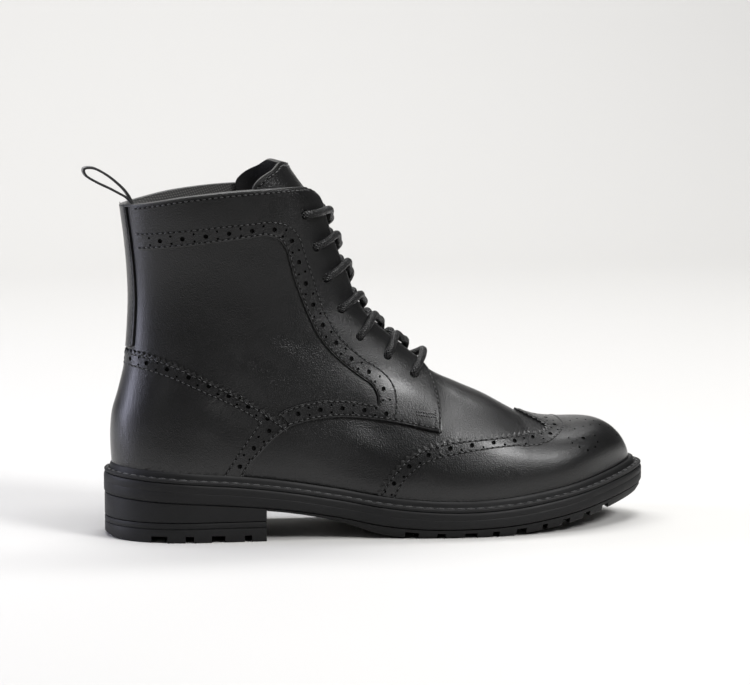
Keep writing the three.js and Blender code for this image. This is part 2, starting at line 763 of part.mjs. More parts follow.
const layer = (rings, hollow = false) => {
  const positions = [];
  const indices = [];
  const ids = rings.map((ring) => {
    const add = (share, side) => {
      const p = outlinePoint(share, side, ring);
      positions.push(p.x, p.y, ring.level(p.x));
      return positions.length / 3 - 1;
    };
    const left = [];
    const right = [];
    for (let i = 0; i <= outlineCount; i += 1) {
      const end = i === 0 || i === outlineCount;
      const share = i / outlineCount;
      left.push(add(share, lateral));
      right.push(end ? left[i] : add(share, medial));
    }
    return { left, right };
  });
  const face = (a, b, c) => {
    if (a !== b && b !== c && a !== c) indices.push(a, b, c);
  };
  const quad = (a, b, c, d) => {
    face(a, b, c);
    face(a, c, d);
  };
  const top = ids[ids.length - 1];
  const bottom = ids[0];
  for (let i = 0; i < outlineCount; i += 1) {
    if (!hollow) {
      quad(top.left[i], top.left[i + 1], top.right[i + 1], top.right[i]);
      quad(bottom.right[i], bottom.right[i + 1], bottom.left[i + 1], bottom.left[i]);
    }
    for (let k = 0; k < ids.length - (hollow ? 0 : 1); k += 1) {
      const low = ids[k];
      const high = ids[(k + 1) % ids.length];
      quad(low.left[i], low.left[i + 1], high.left[i + 1], high.left[i]);
      quad(low.right[i + 1], low.right[i], high.right[i], high.right[i + 1]);
    }
  }
  return toSolid(positions, indices);
};

const breastX = xAt(heelBreast);
const edge = edgeReach;
const sideLine = (share) => (x) => mix(midsoleUnder(x), seatTop(x), share);
const midsoleBody = layer([
  { reach: edge - 0.9, level: midsoleUnder },
  { reach: edge, level: sideLine(0.14) },
  { reach: edge, level: sideLine(0.6) },
  { reach: edge - 0.5, level: sideLine(0.66) },
  { reach: edge - 0.5, level: seatTop },
]);

// The welt is a closed ring: its inner wall follows the upper at two levels.
const beadTop = (x) => weltTop(x) + beadHeight;
const weltUnder = (x) => seatTop(x) + gap + 0.2;
const weltBody = layer(
  [
    { close: gap + 0.4, level: weltUnder },
    { reach: edge - 0.4, level: weltUnder },
    { reach: edge - 0.4, level: weltTop },
    { reach: beadReach, level: weltTop },
    { reach: beadReach - 0.8, level: (x) => beadTop(x) - 0.8 },
    { close: gap + 0.4, height: beadHeight, level: beadTop },
  ],
  true,
);

const insoleInset = -upperWall - gap - 1.7;
const insoleBody = layer([
  { close: insoleInset, level: (x) => seatTop(x) + gap },
  { close: insoleInset, level: (x) => seatTop(x) + gap + insoleThickness },
]);

// Tread of the forefoot and waist, with lugs between the grooves.
const sheetLine = (x) => treadTop(x) - treadSheet;
const grooveOf = (row, from, to, level) => {
  const ends = [row.along - row.width / 2, row.along + row.width / 2].map(xAt);
  return sidePrism(
    [
      { x: ends[0], z: -5 },
      { x: ends[1], z: -5 },
      { x: ends[1], z: level(ends[1]) },
      { x: ends[0], z: level(ends[0]) },
    ],
    from,
    to,
  );
};
const channelEdge = 0.17 * ballWidth;
const channelWidth = 0.028 * ballWidth;
const treadCuts = [];
treadGrooves.forEach((row) => {
  treadCuts.push(grooveOf(row, -120, -channelEdge - channelWidth / 2, sheetLine));
  treadCuts.push(grooveOf(row, channelEdge + channelWidth / 2, 120, sheetLine));
});
treadGrooves.slice(0, -1).forEach((row, i) => {
  if (i % 2) return;
  const between = (row.along + treadGrooves[i + 1].along) / 2;
  const cut = { along: between, width: 0.012 };
  treadCuts.push(grooveOf(cut, -channelEdge - 1, channelEdge + 1, sheetLine));
});
[lateral, medial].forEach((side) => {
  const line = levelLine(0.47, 0.93, 12, sheetLine);
  const ends = [{ x: xAt(0.93), z: -5 }, { x: xAt(0.47), z: -5 }];
  const from = side * channelEdge - channelWidth / 2;
  treadCuts.push(sidePrism([...line, ...ends], from, from + channelWidth));
});
const outsoleBody = layer([
  { reach: edge - 2.4, level: treadUnder },
  { reach: edge - 1.0, level: (x) => mix(treadUnder(x), treadTop(x), 0.5) },
  { reach: edge - 1.0, level: treadTop },
])
  .subtract(box(-150, breastX + 0.6, -200, 200, -50, 200))
  .subtract(union(treadCuts));

// Heel: block, then the lugged lift under it.
const heelOnly = box(-150, breastX, -200, 200, -50, 200);
const heelCurl = (x) => 1.8 * clamp((0.035 - alongAt(x)) / 0.035, 0, 1) ** 2;
const heelBlockBody = layer([
  { reach: edge - 0.6, level: () => liftHeight + gap },
  { reach: edge - 0.4, level: (x) => midsoleUnder(x) - gap },
]).intersect(heelOnly);
const heelCuts = heelGrooves.flatMap((row) => [
  grooveOf(row, -120, -channelEdge - 1, () => heelGrooveDepth),
  grooveOf(row, channelEdge + 1, 120, () => heelGrooveDepth),
]);
const heelLiftBody = layer([
  { reach: edge - 1.2, level: heelCurl },
  { reach: edge - 0.4, level: (x) => 1.2 + heelCurl(x) },
  { reach: edge - 0.4, level: () => liftGroove },
  { reach: edge - 1.0, level: () => liftGroove + 0.3 },
  { reach: edge - 0.4, level: () => liftGroove + 0.6 },
  { reach: edge - 0.4, level: () => liftHeight },
])
  .intersect(heelOnly)
  .subtract(union(heelCuts));

// Closed bar of a given outline swept along a path. across: the outline's
// first axis where it is fixed, else it turns with the path.
const sweep = (path, outline, across) => {
  const positions = [];
  const indices = [];
  const count = outline.length;
  let first = new THREE.Vector3(0, 0, 1);
  path.forEach((point, i) => {
    const before = path[Math.max(i - 1, 0)];
    const after = path[Math.min(i + 1, path.length - 1)];
    const ahead = after.clone().sub(before).normalize();
    first = (across ?? first).clone().addScaledVector(ahead, -(across ?? first).dot(ahead));
    first.normalize();
    const second = ahead.clone().cross(first);
    outline.forEach(([a, b]) => {
      const corner = point.clone().addScaledVector(first, a).addScaledVector(second, b);
      positions.push(corner.x, corner.y, corner.z);
    });
  });
  for (let i = 0; i < path.length - 1; i += 1) {
    for (let k = 0; k < count; k += 1) {
      const next = (k + 1) % count;
      const [a, b] = [i * count + k, i * count + next];
      indices.push(a, b, b + count, a, b + count, a + count);
    }
  }
  const end = (path.length - 1) * count;
  for (let k = 1; k < count - 1; k += 1) {
    indices.push(0, k + 1, k, end, end + k, end + k + 1);
  }
  return toSolid(positions, indices);
};
const roundOutline = (radius, count) =>
  Array.from({ length: count }, (_, k) => {
    const angle = (2 * Math.PI * (k + 0.5)) / count;
    return [radius * Math.cos(angle), radius * Math.sin(angle)];
  });

// Pull loop: a tape sewn inside the collar, over the back and down again.
const collarBack = { x: xAt(backAlong(collarLine[1].up)), z: collarPoints[1].z + 0.3 };
const loopRows = [
  { out: -7.4, up: -13 },
  { out: -6.4, up: -6 },
  { out: -5.4, up: 0.8 },
  { out: -2.0, up: 7.0 },
  { out: 3.6, up: 12.6 },
  { out: 9.6, up: 17.0 },
  { out: 15.5, up: 19.8 },
  { out: 20.2, up: 19.4 },
  { out: 19.2, up: 15.8 },
  { out: 13.2, up: 12.0 },
  { out: 7.0, up: 9.0 },
  { out: 1.8, up: 6.2 },
  { out: -2.6, up: 3.6 },
  { out: -5.6, up: 0.2 },
];
const loopPath = new THREE.CatmullRomCurve3(
  loopRows.map((row) => new THREE.Vector3(collarBack.x - row.out, 0, collarBack.z + row.up)),
).getPoints(20);
const tape = [
  [-loopWidth / 2, -loopThickness / 2],
  [loopWidth / 2, -loopThickness / 2],
  [loopWidth / 2, loopThickness / 2],
  [-loopWidth / 2, loopThickness / 2],
];
const acrossBoot = new THREE.Vector3(0, 1, 0);
const loopBody = sweep(loopPath.slice(0, 12), tape, acrossBoot).add(
  sweep(loopPath.slice(11), tape, acrossBoot),
);

// Laces: a bar over each facing edge, crossing the throat to tuck in lower down.
const laceRadius = laceDiameter / 2;
const cordOutline = roundOutline(laceRadius, 5);
const facingCurve = new THREE.CatmullRomCurve3(
  sideView(throatRows.slice(3)).map((p) => new THREE.Vector3(p.x, 0, p.z)),
);
const facingPoints = facingCurve.getPoints(200);
const holeReach = gap + overlayThickness;
const cordHeight = holeReach + gap + laceRadius + 0.8;
const edgeNear = (x, z) => {
  const from = new THREE.Vector3(x, 0, z);
  return facingPoints.reduce((best, p) => (p.distanceTo(from) < best.distanceTo(from) ? p : best));
};
const throatPlace = (hole) => {
  const edgePoint = edgeNear(hole.x, hole.height + weltTop(hole.x));
  const height = edgePoint.z - weltTop(edgePoint.x);
  const out = new THREE.Vector3(edgePoint.x - hole.x, 0, edgePoint.z - hole.height - weltTop(hole.x));
  return { x: edgePoint.x, height, out: out.normalize() };
};
const places = holes.map(throatPlace);
const facingPoint = (place, side, lift, inward) => {
  const { point, normal } = surfaceFrame(place.x, place.height, side);
  const lifted = point.clone().addScaledVector(normal, lift);
  lifted.y -= side * inward;
  return lifted.addScaledVector(place.out, inward * 0.3);
};
const cord = (points) =>
  sweep(new THREE.CatmullRomCurve3(points).getPoints(5), cordOutline);
const start = (hole, side) => {
  const { point, normal } = hole.sides[side === lateral ? 0 : 1];
  return point.clone().addScaledVector(normal, cordHeight);
};
const onWay = (hole, place, side) => {
  const x = (hole.x + place.x) / 2;
  const { point, normal } = surfaceFrame(x, (hole.height + place.height) / 2, side);
  return point.clone().addScaledVector(normal, cordHeight + 0.3);
};
const centre = (a, b, lift) => {
  const x = (a.x + b.x) / 2;
  const z = (a.height + b.height) / 2 + weltTop(x);
  const out = a.out.clone().add(b.out).normalize();
  return new THREE.Vector3(x, 0, z).addScaledVector(out, 4.2 + lift);
};
const cords = [];
for (let i = 0; i < holes.length - 1; i += 1) {
  [lateral, medial].forEach((side) => {
    const over = side === lateral ? 2.6 : 0;
    cords.push(
      cord([
        start(holes[i], side),
        onWay(holes[i], places[i], side),
        facingPoint(places[i], side, cordHeight + 0.9, 1.5),
        centre(places[i], places[i + 1], over),
        facingPoint(places[i + 1], -side, 2.2, 4.2),
      ]),
    );
  });
}
const lowest = holes.length - 1;
const lowBar = centre(places[lowest], places[lowest], 3);
cords.push(
  cord([
    start(holes[lowest], lateral),
    facingPoint(places[lowest], lateral, cordHeight + 1.2, 1.5),
    lowBar,
    facingPoint(places[lowest], medial, cordHeight + 1.2, 1.5),
    start(holes[lowest], medial),
  ]),
);
const laceBody = union(cords);

const part = new THREE.Group();
part.name = 'brogue_boot';
const addPiece = (name, solid, look) => {
  const mesh = solid.getMesh();
  const geometry = new THREE.BufferGeometry();
  geometry.setAttribute('position', new THREE.BufferAttribute(mesh.vertProperties, 3));
  geometry.setIndex(new THREE.BufferAttribute(mesh.triVerts, 1));
  geometry.computeVertexNormals();
  const piece = new THREE.Mesh(geometry, look);
  piece.name = name;
  part.add(piece);
};

addPiece('outsole', outsoleBody, material(0x1b1b1b, 0.75));
addPiece('midsole', midsoleBody, material(0x1d1d1d, 0.65));
addPiece('welt', weltBody, material(0x1f1f1f, 0.6));
addPiece('heel_block', heelBlockBody, material(0x1c1c1c, 0.7));
addPiece('heel_lift', heelLiftBody, material(0x1a1a1a, 0.75));
addPiece('insole', insoleBody, material(0x4a4743, 0.85));
addPiece('upper', upperBody, material(0x1e1e1f, 0.4));
addPiece('tongue', tongueBody, material(0x202021, 0.45));
addPiece('toe_cap', toeCap, material(0x1c1c1d, 0.35));
addPiece('heel_counter', counter, material(0x1b1b1c, 0.38));
addPiece('eyestay_lateral', stayOf(lateral), material(0x1e1e1f, 0.4));
addPiece('eyestay_medial', stayOf(medial), material(0x1e1e1f, 0.4));
addPiece('back_strip', backStrip, material(0x1b1b1c, 0.38));
addPiece('pull_loop', loopBody, material(0x161616, 0.8));
addPiece('laces', laceBody, material(0x151515, 0.6));

export default part;
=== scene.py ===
from math import cos, pi, radians, sin, tau

import bmesh
import bpy
import numpy as np
from mathutils import Matrix, Vector
from mathutils.geometry import delaunay_2d_cdt
from mathutils.kdtree import KDTree


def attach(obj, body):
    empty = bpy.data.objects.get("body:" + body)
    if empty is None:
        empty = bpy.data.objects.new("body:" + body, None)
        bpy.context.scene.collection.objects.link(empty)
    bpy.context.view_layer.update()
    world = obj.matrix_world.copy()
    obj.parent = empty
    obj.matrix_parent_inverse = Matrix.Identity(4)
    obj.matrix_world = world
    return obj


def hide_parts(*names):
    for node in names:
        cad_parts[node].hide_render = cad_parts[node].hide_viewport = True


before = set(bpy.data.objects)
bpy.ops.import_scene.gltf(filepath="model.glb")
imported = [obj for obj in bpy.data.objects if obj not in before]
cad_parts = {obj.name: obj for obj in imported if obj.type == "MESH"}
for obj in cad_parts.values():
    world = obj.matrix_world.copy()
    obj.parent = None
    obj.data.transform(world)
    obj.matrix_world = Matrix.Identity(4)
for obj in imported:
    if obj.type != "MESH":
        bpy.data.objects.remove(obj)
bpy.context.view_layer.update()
scene = bpy.context.scene
mm = 0.001
print("frame loaded:", len(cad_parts), "nodes")

# Sizes of the boot in millimetres, the same as in the part
boot = {
    "soleLength": 304.0, "ballWidth": 107.0, "legWidth": 67.0,
    "instepHeight": 100.0, "legRise": 62.0,
    "heelRise": 20.7, "toeSpring": 15.7, "ballThickness": 15.8,
    "heelShare": 0.15, "frontShare": 0.617, "seatDrop": -1.4, "footing": -9.0,
    "toeShare": 0.975, "toeRound": 0.854, "toeTaper": 0.7915,
    "edgeReach": 6.8, "edgeHeight": 12.0, "weltThickness": 1.9,
    "beadHeight": 3.6, "treadDepth": 4.8, "liftHeight": 10.6,
    "heelBreast": 0.273, "gap": 0.34,
}

# along, rise, spring, side, tread
soleRows = np.array([
    (0.0, 1.0, 0, 1.1, 0.25), (0.068, 0.928, 0, 1.07, 0.25), (0.15, 0.841, 0, 1.035, 0.25),
    (0.232, 0.744, 0, 1.02, 0.25), (0.314, 0.589, 0, 0.965, 0.26), (0.397, 0.377, 0, 0.95, 0.4),
    (0.479, 0.155, 0, 0.985, 0.98), (0.561, 0.029, 0, 0.955, 1), (0.643, 0, 0, 0.917, 1),
    (0.726, 0, 0.096, 0.94, 1), (0.808, 0, 0.306, 0.95, 1), (0.89, 0, 0.586, 0.92, 0.95),
    (0.995, 0, 0.995, 0.92, 0.85)])
# along, half, swing, widest, full
footRows = np.array([
    (0.0, 0.28, 0.0, 0.155, 1.6), (0.15, 0.299, 0.0, 0.155, 1.6), (0.282, 0.299, -0.014, 0.155, 1.6),
    (0.347, 0.294, -0.028, 0.155, 1.6), (0.43, 0.313, -0.037, 0.145, 1.6), (0.512, 0.36, -0.042, 0.135, 1.6),
    (0.594, 0.407, -0.033, 0.125, 1.65), (0.66, 0.43, -0.019, 0.12, 1.8), (0.726, 0.43, 0.0, 0.115, 2.0),
    (0.791, 0.411, 0.023, 0.115, 2.2), (0.857, 0.383, 0.047, 0.115, 2.4), (0.913, 0.336, 0.065, 0.115, 2.5),
    (0.979, 0.28, 0.084, 0.105, 2.5)])
# up, half, widest
legRows = np.array([
    (-0.093, 0.487, 0.163), (-0.031, 0.493, 0.163), (0.062, 0.507, 0.163), (0.154, 0.501, 0.17),
    (0.247, 0.487, 0.183), (0.34, 0.478, 0.209), (0.432, 0.47, 0.222), (0.525, 0.46, 0.229),
    (0.648, 0.466, 0.226), (0.772, 0.493, 0.216), (0.895, 0.53, 0.209), (1.049, 0.56, 0.203),
    (1.173, 0.567, 0.199)])
# up, along: back line of the boot
backRows = np.array([
    (-0.098, 0.0211), (0.001, 0.0184), (0.063, 0.0161), (0.131, 0.0158), (0.199, 0.0197),
    (0.248, 0.0276), (0.3, 0.0349), (0.35, 0.0408), (0.4, 0.0434), (0.489, 0.047), (0.581, 0.049),
    (0.674, 0.0474), (0.767, 0.0434), (0.878, 0.0362), (1.044, 0.0266), (1.168, 0.0201)])
# along, up: front line, from above the collar to the toe
frontRows = np.array([
    (0.298, 1.211), (0.3401, 1.0877), (0.3572, 1.0451), (0.372, 1.0136), (0.3836, 0.9932),
    (0.3934, 0.9704), (0.3987, 0.9407), (0.4069, 0.8944), (0.4171, 0.8426), (0.4306, 0.7932),
    (0.4414, 0.7432), (0.4553, 0.6765), (0.474, 0.6179), (0.4938, 0.5827), (0.5217, 0.5432),
    (0.548, 0.5074), (0.576, 0.4679), (0.599, 0.4333), (0.6434, 0.3944), (0.6928, 0.3488),
    (0.7421, 0.2901), (0.7569, 0.2728), (0.798, 0.2377), (0.8342, 0.2179), (0.8671, 0.2049),
    (0.9066, 0.1926), (0.9395, 0.1802), (0.975, 0.1654)])
# Section planes: a low end on the footing (along), and a high end on the front line
toePlanes = [0.97495, 0.9735, 0.966, 0.949, 0.923, 0.888, 0.845, 0.797, 0.744, 0.688]
wearPlanes = [(0.632, 0.634), (0.575, 0.585), (0.514, 0.545), (0.446, 0.508)]
anklePlanes = [(0.374, 0.592), (0.3, 0.64), (0.228, 0.683), (0.16, 0.721), (0.103, 0.754),
               (0.059, 0.78), (0.032, 0.8)]
legPlanes = [(-0.0556, 0.818), (0.08, 0.845), (0.19, 0.874), (0.3, 0.905), (0.43, 0.938),
             (0.58, 0.968), (0.74, 1.0), (0.9, 1.05), (1.06, 1.14)]


def smoothStep(share):
    t = np.clip(share, 0, 1)
    return t * t * (3 - 2 * t)


def rowCurve(at, value):
    # Smooth curve through table rows, flat-ended past the table
    at, value = np.asarray(at, float), np.asarray(value, float)
    span = np.diff(at)
    slope = np.diff(value) / span
    lean = np.empty_like(value)
    lean[0], lean[-1] = slope[0], slope[-1]
    lean[1:-1] = (slope[:-1] * span[1:] + slope[1:] * span[:-1]) / (span[1:] + span[:-1])

    def curve(where):
        w = np.clip(np.asarray(where, float), at[0], at[-1])
        i = np.clip(np.searchsorted(at, w, side="right") - 1, 0, len(at) - 2)
        t = (w - at[i]) / span[i]
        return ((2 * t**3 - 3 * t**2 + 1) * value[i] + (t**3 - 2 * t**2 + t) * span[i] * lean[i]
                + (3 * t**2 - 2 * t**3) * value[i + 1] + (t**3 - t**2) * span[i] * lean[i + 1])
    return curve


def lengthAlong(points):
    return np.concatenate([[0], np.cumsum(np.linalg.norm(np.diff(points, axis=0), axis=1))])


def pick(at, length, points):
    # Points of a line at given lengths along it
    return np.stack([np.interp(at, length, points[:, i]) for i in range(points.shape[1])], axis=1)


def xAt(along):
    return (np.asarray(along, float) - boot["heelShare"]) * boot["soleLength"]


def alongAt(x):
    return np.asarray(x, float) / boot["soleLength"] + boot["heelShare"]


def heightAt(up):
    up = np.asarray(up, float)
    share = boot["frontShare"]
    return np.where(up < share, up / share * boot["instepHeight"],
                    boot["instepHeight"] + (up - share) / (1 - share) * boot["legRise"])


def upAt(height):
    height = np.asarray(height, float)
    share, instep = boot["frontShare"], boot["instepHeight"]
    return np.where(height < instep, height / instep * share,
                    share + (height - instep) / boot["legRise"] * (1 - share))


riseShare, springShare, sideShare, treadShare = (
    rowCurve(soleRows[:, 0], soleRows[:, i]) for i in (1, 2, 3, 4))
footHalf, footSwing, footWidest, footFull = (
    rowCurve(footRows[:, 0], footRows[:, i]) for i in (1, 2, 3, 4))
legHalf, legWidest = (rowCurve(legRows[:, 0], legRows[:, i]) for i in (1, 2))
backAlong = rowCurve(backRows[:, 0], backRows[:, 1])
frontAlongCurve = rowCurve(range(len(frontRows)), frontRows[:, 0])
frontUpCurve = rowCurve(range(len(frontRows)), frontRows[:, 1])
reachSteps = np.linspace(0, len(frontRows) - 1, 6001)
reachAlong, reachUp = frontAlongCurve(reachSteps), frontUpCurve(reachSteps)


def frontUp(along):
    return np.interp(along, reachAlong, reachUp)


def frontAlong(up):
    return np.interp(up, reachUp[::-1], reachAlong[::-1])


def weltTop(x):
    along = alongAt(x)
    return (boot["ballThickness"] + boot["heelRise"] * riseShare(along)
            + boot["toeSpring"] * springShare(along))


def seatTop(x):
    return weltTop(x) - boot["weltThickness"]


def midsoleUnder(x):
    return weltTop(x) - boot["edgeHeight"] * sideShare(alongAt(x))


def crestHeight(along, up):
    end = np.clip((along - boot["toeRound"]) / (boot["toeShare"] - boot["toeRound"]), 0, 1)
    return boot["seatDrop"] + (heightAt(up) - boot["seatDrop"]) * np.sqrt(1 - end**2.9)


def footForm(along, height):
    drop = boot["seatDrop"]
    top = crestHeight(along, frontUp(along))
    widest = np.minimum(footWidest(along) * boot["instepHeight"], 0.45 * (top - drop) + 1e-6)
    taper = np.clip((along - boot["toeTaper"]) / (boot["toeShare"] - boot["toeTaper"]), 0, 1)
    half = footHalf(along) * boot["ballWidth"] * np.sqrt(1 - taper * taper)
    over = height - drop - widest
    share = np.clip(over / np.maximum(top - drop - widest, 1e-6), 0, 1)
    upper = half * np.sqrt(1 - share ** footFull(along))
    under = half * (1 - 0.045 * np.clip(-over / widest, 0, 1.6) ** 2)
    return np.where(over > 0, upper, under)


def legForm(along, up):
    widest = legWidest(up)
    half = legHalf(up) * boot["legWidth"]
    behind = np.clip((widest - along) / (widest - backAlong(up)), 0, 1)
    ahead = np.clip((along - widest) / np.maximum(frontAlong(up) - widest, 1e-6), 0, 1)
    return half * np.sqrt(np.where(along < widest, 1 - behind**2.15, 1 - ahead**2.1))


def sideOf(x, height, side):
    along, up = alongAt(x), upAt(height)
    foot = smoothStep((along - 0.4066 - 0.506 * (up - 0.074) + 0.125) / 0.25)
    half = legForm(along, up) * (1 - foot) + footForm(along, height) * foot
    middle = footSwing(along) * boot["ballWidth"] * np.clip(1.333 - up * 2.7, 0, 1)
    return middle + side * half


# One smooth family of section planes: plane number to its high and low ends
def planeTable():
    rows = []
    for along in toePlanes:
        rows.append((along, None, along))
    for low, high in wearPlanes:
        rows.append((high, None, low))
    for low, crest in anklePlanes:
        rows.append((None, crest, low))
    for back, crest in legPlanes:
        rows.append((None, crest, -back))
    heelX = float(xAt(backAlong(upAt(boot["footing"]))))
    reach, path, rounding = [], [], []
    for i, (high, crest, low) in enumerate(rows):
        if high is not None:
            reach.append(np.interp(high, reachAlong, reachSteps))
        else:
            reach.append(np.interp(crest, reachUp[::-1], reachSteps[::-1]))
        if i < len(rows) - len(legPlanes):
            path.append(heelX - float(xAt(low)))
            rounding.append(float(np.clip((0.2 - low) / 0.18, 0, 1)))
        else:
            height = max(float(heightAt(-low)), boot["footing"])
            path.append(height - boot["footing"])
            rounding.append(1.0)
    return heelX, np.array(reach), np.array(path), np.array(rounding)


heelX, planeReach, planePath, planeRound = planeTable()
lastPlane = len(planeReach) - 1
reachOf = rowCurve(range(lastPlane + 1), planeReach)
pathOf = rowCurve(range(lastPlane + 1), planePath)
roundOf = rowCurve(range(lastPlane + 1), planeRound)


def planeEnds(a):
    reach, path = reachOf(a), pathOf(a)
    along = frontAlongCurve(reach)
    highX, highHeight = xAt(along), crestHeight(along, frontUpCurve(reach))
    lowHeight = boot["footing"] + np.maximum(path, 0)
    lowX = np.where(path < 0, heelX - path, xAt(backAlong(upAt(lowHeight))))
    return highX, highHeight, lowX, lowHeight


def downShare(a, s):
    rounding = roundOf(a)
    return ((1 - np.cos(pi * s / 2)) * (1 - rounding) + (1 - np.cos(pi * s)) / 2 * rounding)


def formPoint(a, t):
    # Point of the boot's form on plane a, at t from -1 (outer side, low) over the crest to 1
    a, t = np.asarray(a, float), np.asarray(t, float)
    s = np.abs(t)
    highX, highHeight, lowX, lowHeight = planeEnds(a)
    down = downShare(a, s)
    x = highX + (lowX - highX) * down
    height = highHeight + (lowHeight - highHeight) * down
    y = sideOf(x, height, np.sign(t))
    return np.stack([x, y, height + weltTop(x)], axis=-1)


def formFrame(a, t):
    # Point, tangents along a and t, and the outward normal
    a, t = np.asarray(a, float), np.asarray(t, float)
    da, dt = 0.02, 0.006
    a0, a1 = np.clip(a - da, 0, lastPlane), np.clip(a + da, 0, lastPlane)
    alongA = (formPoint(a1, t) - formPoint(a0, t)) / (a1 - a0)[..., None]
    t0, t1 = np.clip(t - dt, -1, 1), np.clip(t + dt, -1, 1)
    alongT = (formPoint(a, t1) - formPoint(a, t0)) / (t1 - t0)[..., None]
    normal = np.cross(alongT, alongA)
    size = np.linalg.norm(normal, axis=-1, keepdims=True)
    normal = normal / np.maximum(size, 1e-9)
    return formPoint(a, t), alongA, alongT, normal


# Lines on the boot's side as (x, height over the welt), in mm
collarLine = [(-60.8, 140.6), (-35.9, 143.3), (-3.0, 151.2), (33.4, 157.8), (57.8, 161.8), (73.0, 163.3)]
facingLine = [(62.2, 161.95), (66.2, 161.2), (70.6, 158.4), (72.6, 155.0), (73.7, 149.9), (78.8, 135.2),
              (86.0, 119.3), (90.1, 108.9), (95.2, 100.6), (106.5, 90.9), (114.7, 85.0), (122.0, 79.9),
              (128.4, 75.1), (132.1, 70.0), (134.0, 63.0), (134.9, 54.0), (134.6, 46.0), (133.7, 40.2)]
quarterLine = [(133.7, 40.2), (128.9, 40.9), (113.7, 43.3), (97.9, 44.1), (80.0, 42.7), (61.4, 37.8),
               (51.6, 33.6)]
quarterHem = [(51.6, 33.6), (43.0, 26.5), (35.0, 17.5), (28.5, 9.5), (25.3, 3.4)]
bandIn = [(-39.5, 119.1), (-29.9, 120.5), (0.6, 126.1), (29.9, 132.2), (40.0, 134.3), (45.6, 133.0),
          (49.3, 129.2), (51.8, 121.8), (54.6, 112.5), (58.8, 102.1), (62.9, 92.6), (68.3, 83.4),
          (75.1, 75.9), (82.8, 70.3), (91.0, 65.5), (97.0, 61.9), (99.6, 57.6), (100.2, 51.9)]
bandFoot = [(100.2, 51.9), (90.4, 52.1), (80.1, 51.8), (69.9, 50.0), (59.7, 46.9), (52.5, 43.9), (45.4, 39.8)]
bandOut = [(-38.5, 128.0), (-30.5, 129.0), (0.0, 134.2), (29.8, 139.6), (43.6, 141.9), (50.6, 140.9),
           (55.8, 137.0), (59.0, 130.0), (61.5, 122.8), (64.2, 115.6), (67.4, 106.4), (70.5, 98.0),
           (74.8, 90.7), (79.4, 84.6), (86.0, 79.2), (93.8, 74.4), (102.0, 70.0), (107.0, 65.6),
           (109.6, 60.3), (110.1, 54.6), (109.2, 46.6)]
counterTop = [(-39.0, 65.9), (-26.2, 66.2), (-14.1, 63.6), (-4.7, 60.4), (9.5, 54.3), (17.8, 50.8),
              (25.8, 47.0), (33.9, 43.0), (42.4, 38.1), (49.9, 33.5)]
counterIn = [(-39.8, 58.0), (-25.4, 57.3), (-14.3, 54.8), (2.8, 48.5), (11.0, 45.4), (21.4, 41.1), (30.0, 37.0),
             (35.0, 33.4)]
counterInFoot = [(35.0, 33.4), (31.2, 27.6), (25.4, 19.2), (20.5, 11.3), (15.4, 3.4)]
wingSide = [(182.7, 35.4), (174.0, 36.0), (165.6, 36.4), (154.8, 36.4), (144.4, 36.1), (134.1, 34.7),
            (123.9, 31.3), (115.8, 26.7), (109.4, 20.6), (104.3, 13.8), (100.6, 7.5), (98.6, 3.2)]
wingPlan = [(184.6, 0.0), (188.9, 8.7), (194.8, 15.5), (197.7, 21.8), (194.3, 26.8), (188.9, 30.6)]
wingInSide = [(175.7, 30.7), (164.8, 31.2), (154.2, 30.8), (143.8, 29.7), (133.6, 27.8), (125.3, 25.0),
              (118.8, 20.9), (113.2, 15.6), (109.2, 9.8), (106.6, 3.4)]
wingInPlan = [(207.8, 0.0), (207.8, 12.7), (206.9, 20.7), (203.8, 26.5), (196.5, 33.9), (187.1, 38.0)]
tongueLine = [(62.0, 176.2), (54.9, 175.9), (44.5, 174.4), (39.7, 169.9), (35.3, 165.4), (32.6, 159.6),
              (36.5, 145.8), (59.3, 113.4), (85.1, 81.0), (118.6, 61.6)]
laceHoles = [(60.4, 147.9), (66.7, 131.6), (72.4, 115.7), (80.9, 100.1), (91.2, 86.8), (106.6, 78.1),
             (121.5, 68.9)]


def smoothRun(points, step=1.0):
    # Dense smooth line through given points
    points = np.asarray(points, float)
    length = lengthAlong(points)
    count = max(2, int(round(length[-1] / step)) + 1)
    at = np.linspace(0, length[-1], count)
    if len(points) < 3:
        return pick(at, length, points)
    return np.stack([rowCurve(length, points[:, i])(at) for i in range(points.shape[1])], axis=1)


def sOfDown(a, down):
    s0, s1 = np.zeros_like(a), np.ones_like(a)
    for _ in range(34):
        s = (s0 + s1) / 2
        low = downShare(a, s) < down
        s0, s1 = np.where(low, s, s0), np.where(low, s1, s)
    return (s0 + s1) / 2


def fromSide(points, step=1.0):
    # Side-view line to plane numbers and s
    run = smoothRun(points, step) if step else np.asarray(points, float)
    x, height = run[:, 0], run[:, 1]
    low, high = np.zeros(len(x)), np.full(len(x), float(lastPlane))
    for _ in range(40):
        a = (low + high) / 2
        hx, hh, lx, lh = planeEnds(a)
        ahead = (lx - hx) * (height - hh) - (lh - hh) * (x - hx) > 0
        low, high = np.where(ahead, low, a), np.where(ahead, a, high)
    hx, hh, lx, lh = planeEnds(a)
    down = ((x - hx) * (lx - hx) + (height - hh) * (lh - hh)) / ((lx - hx) ** 2 + (lh - hh) ** 2)
    return np.stack([a, sOfDown(a, np.clip(down, 0, 1))], axis=1)


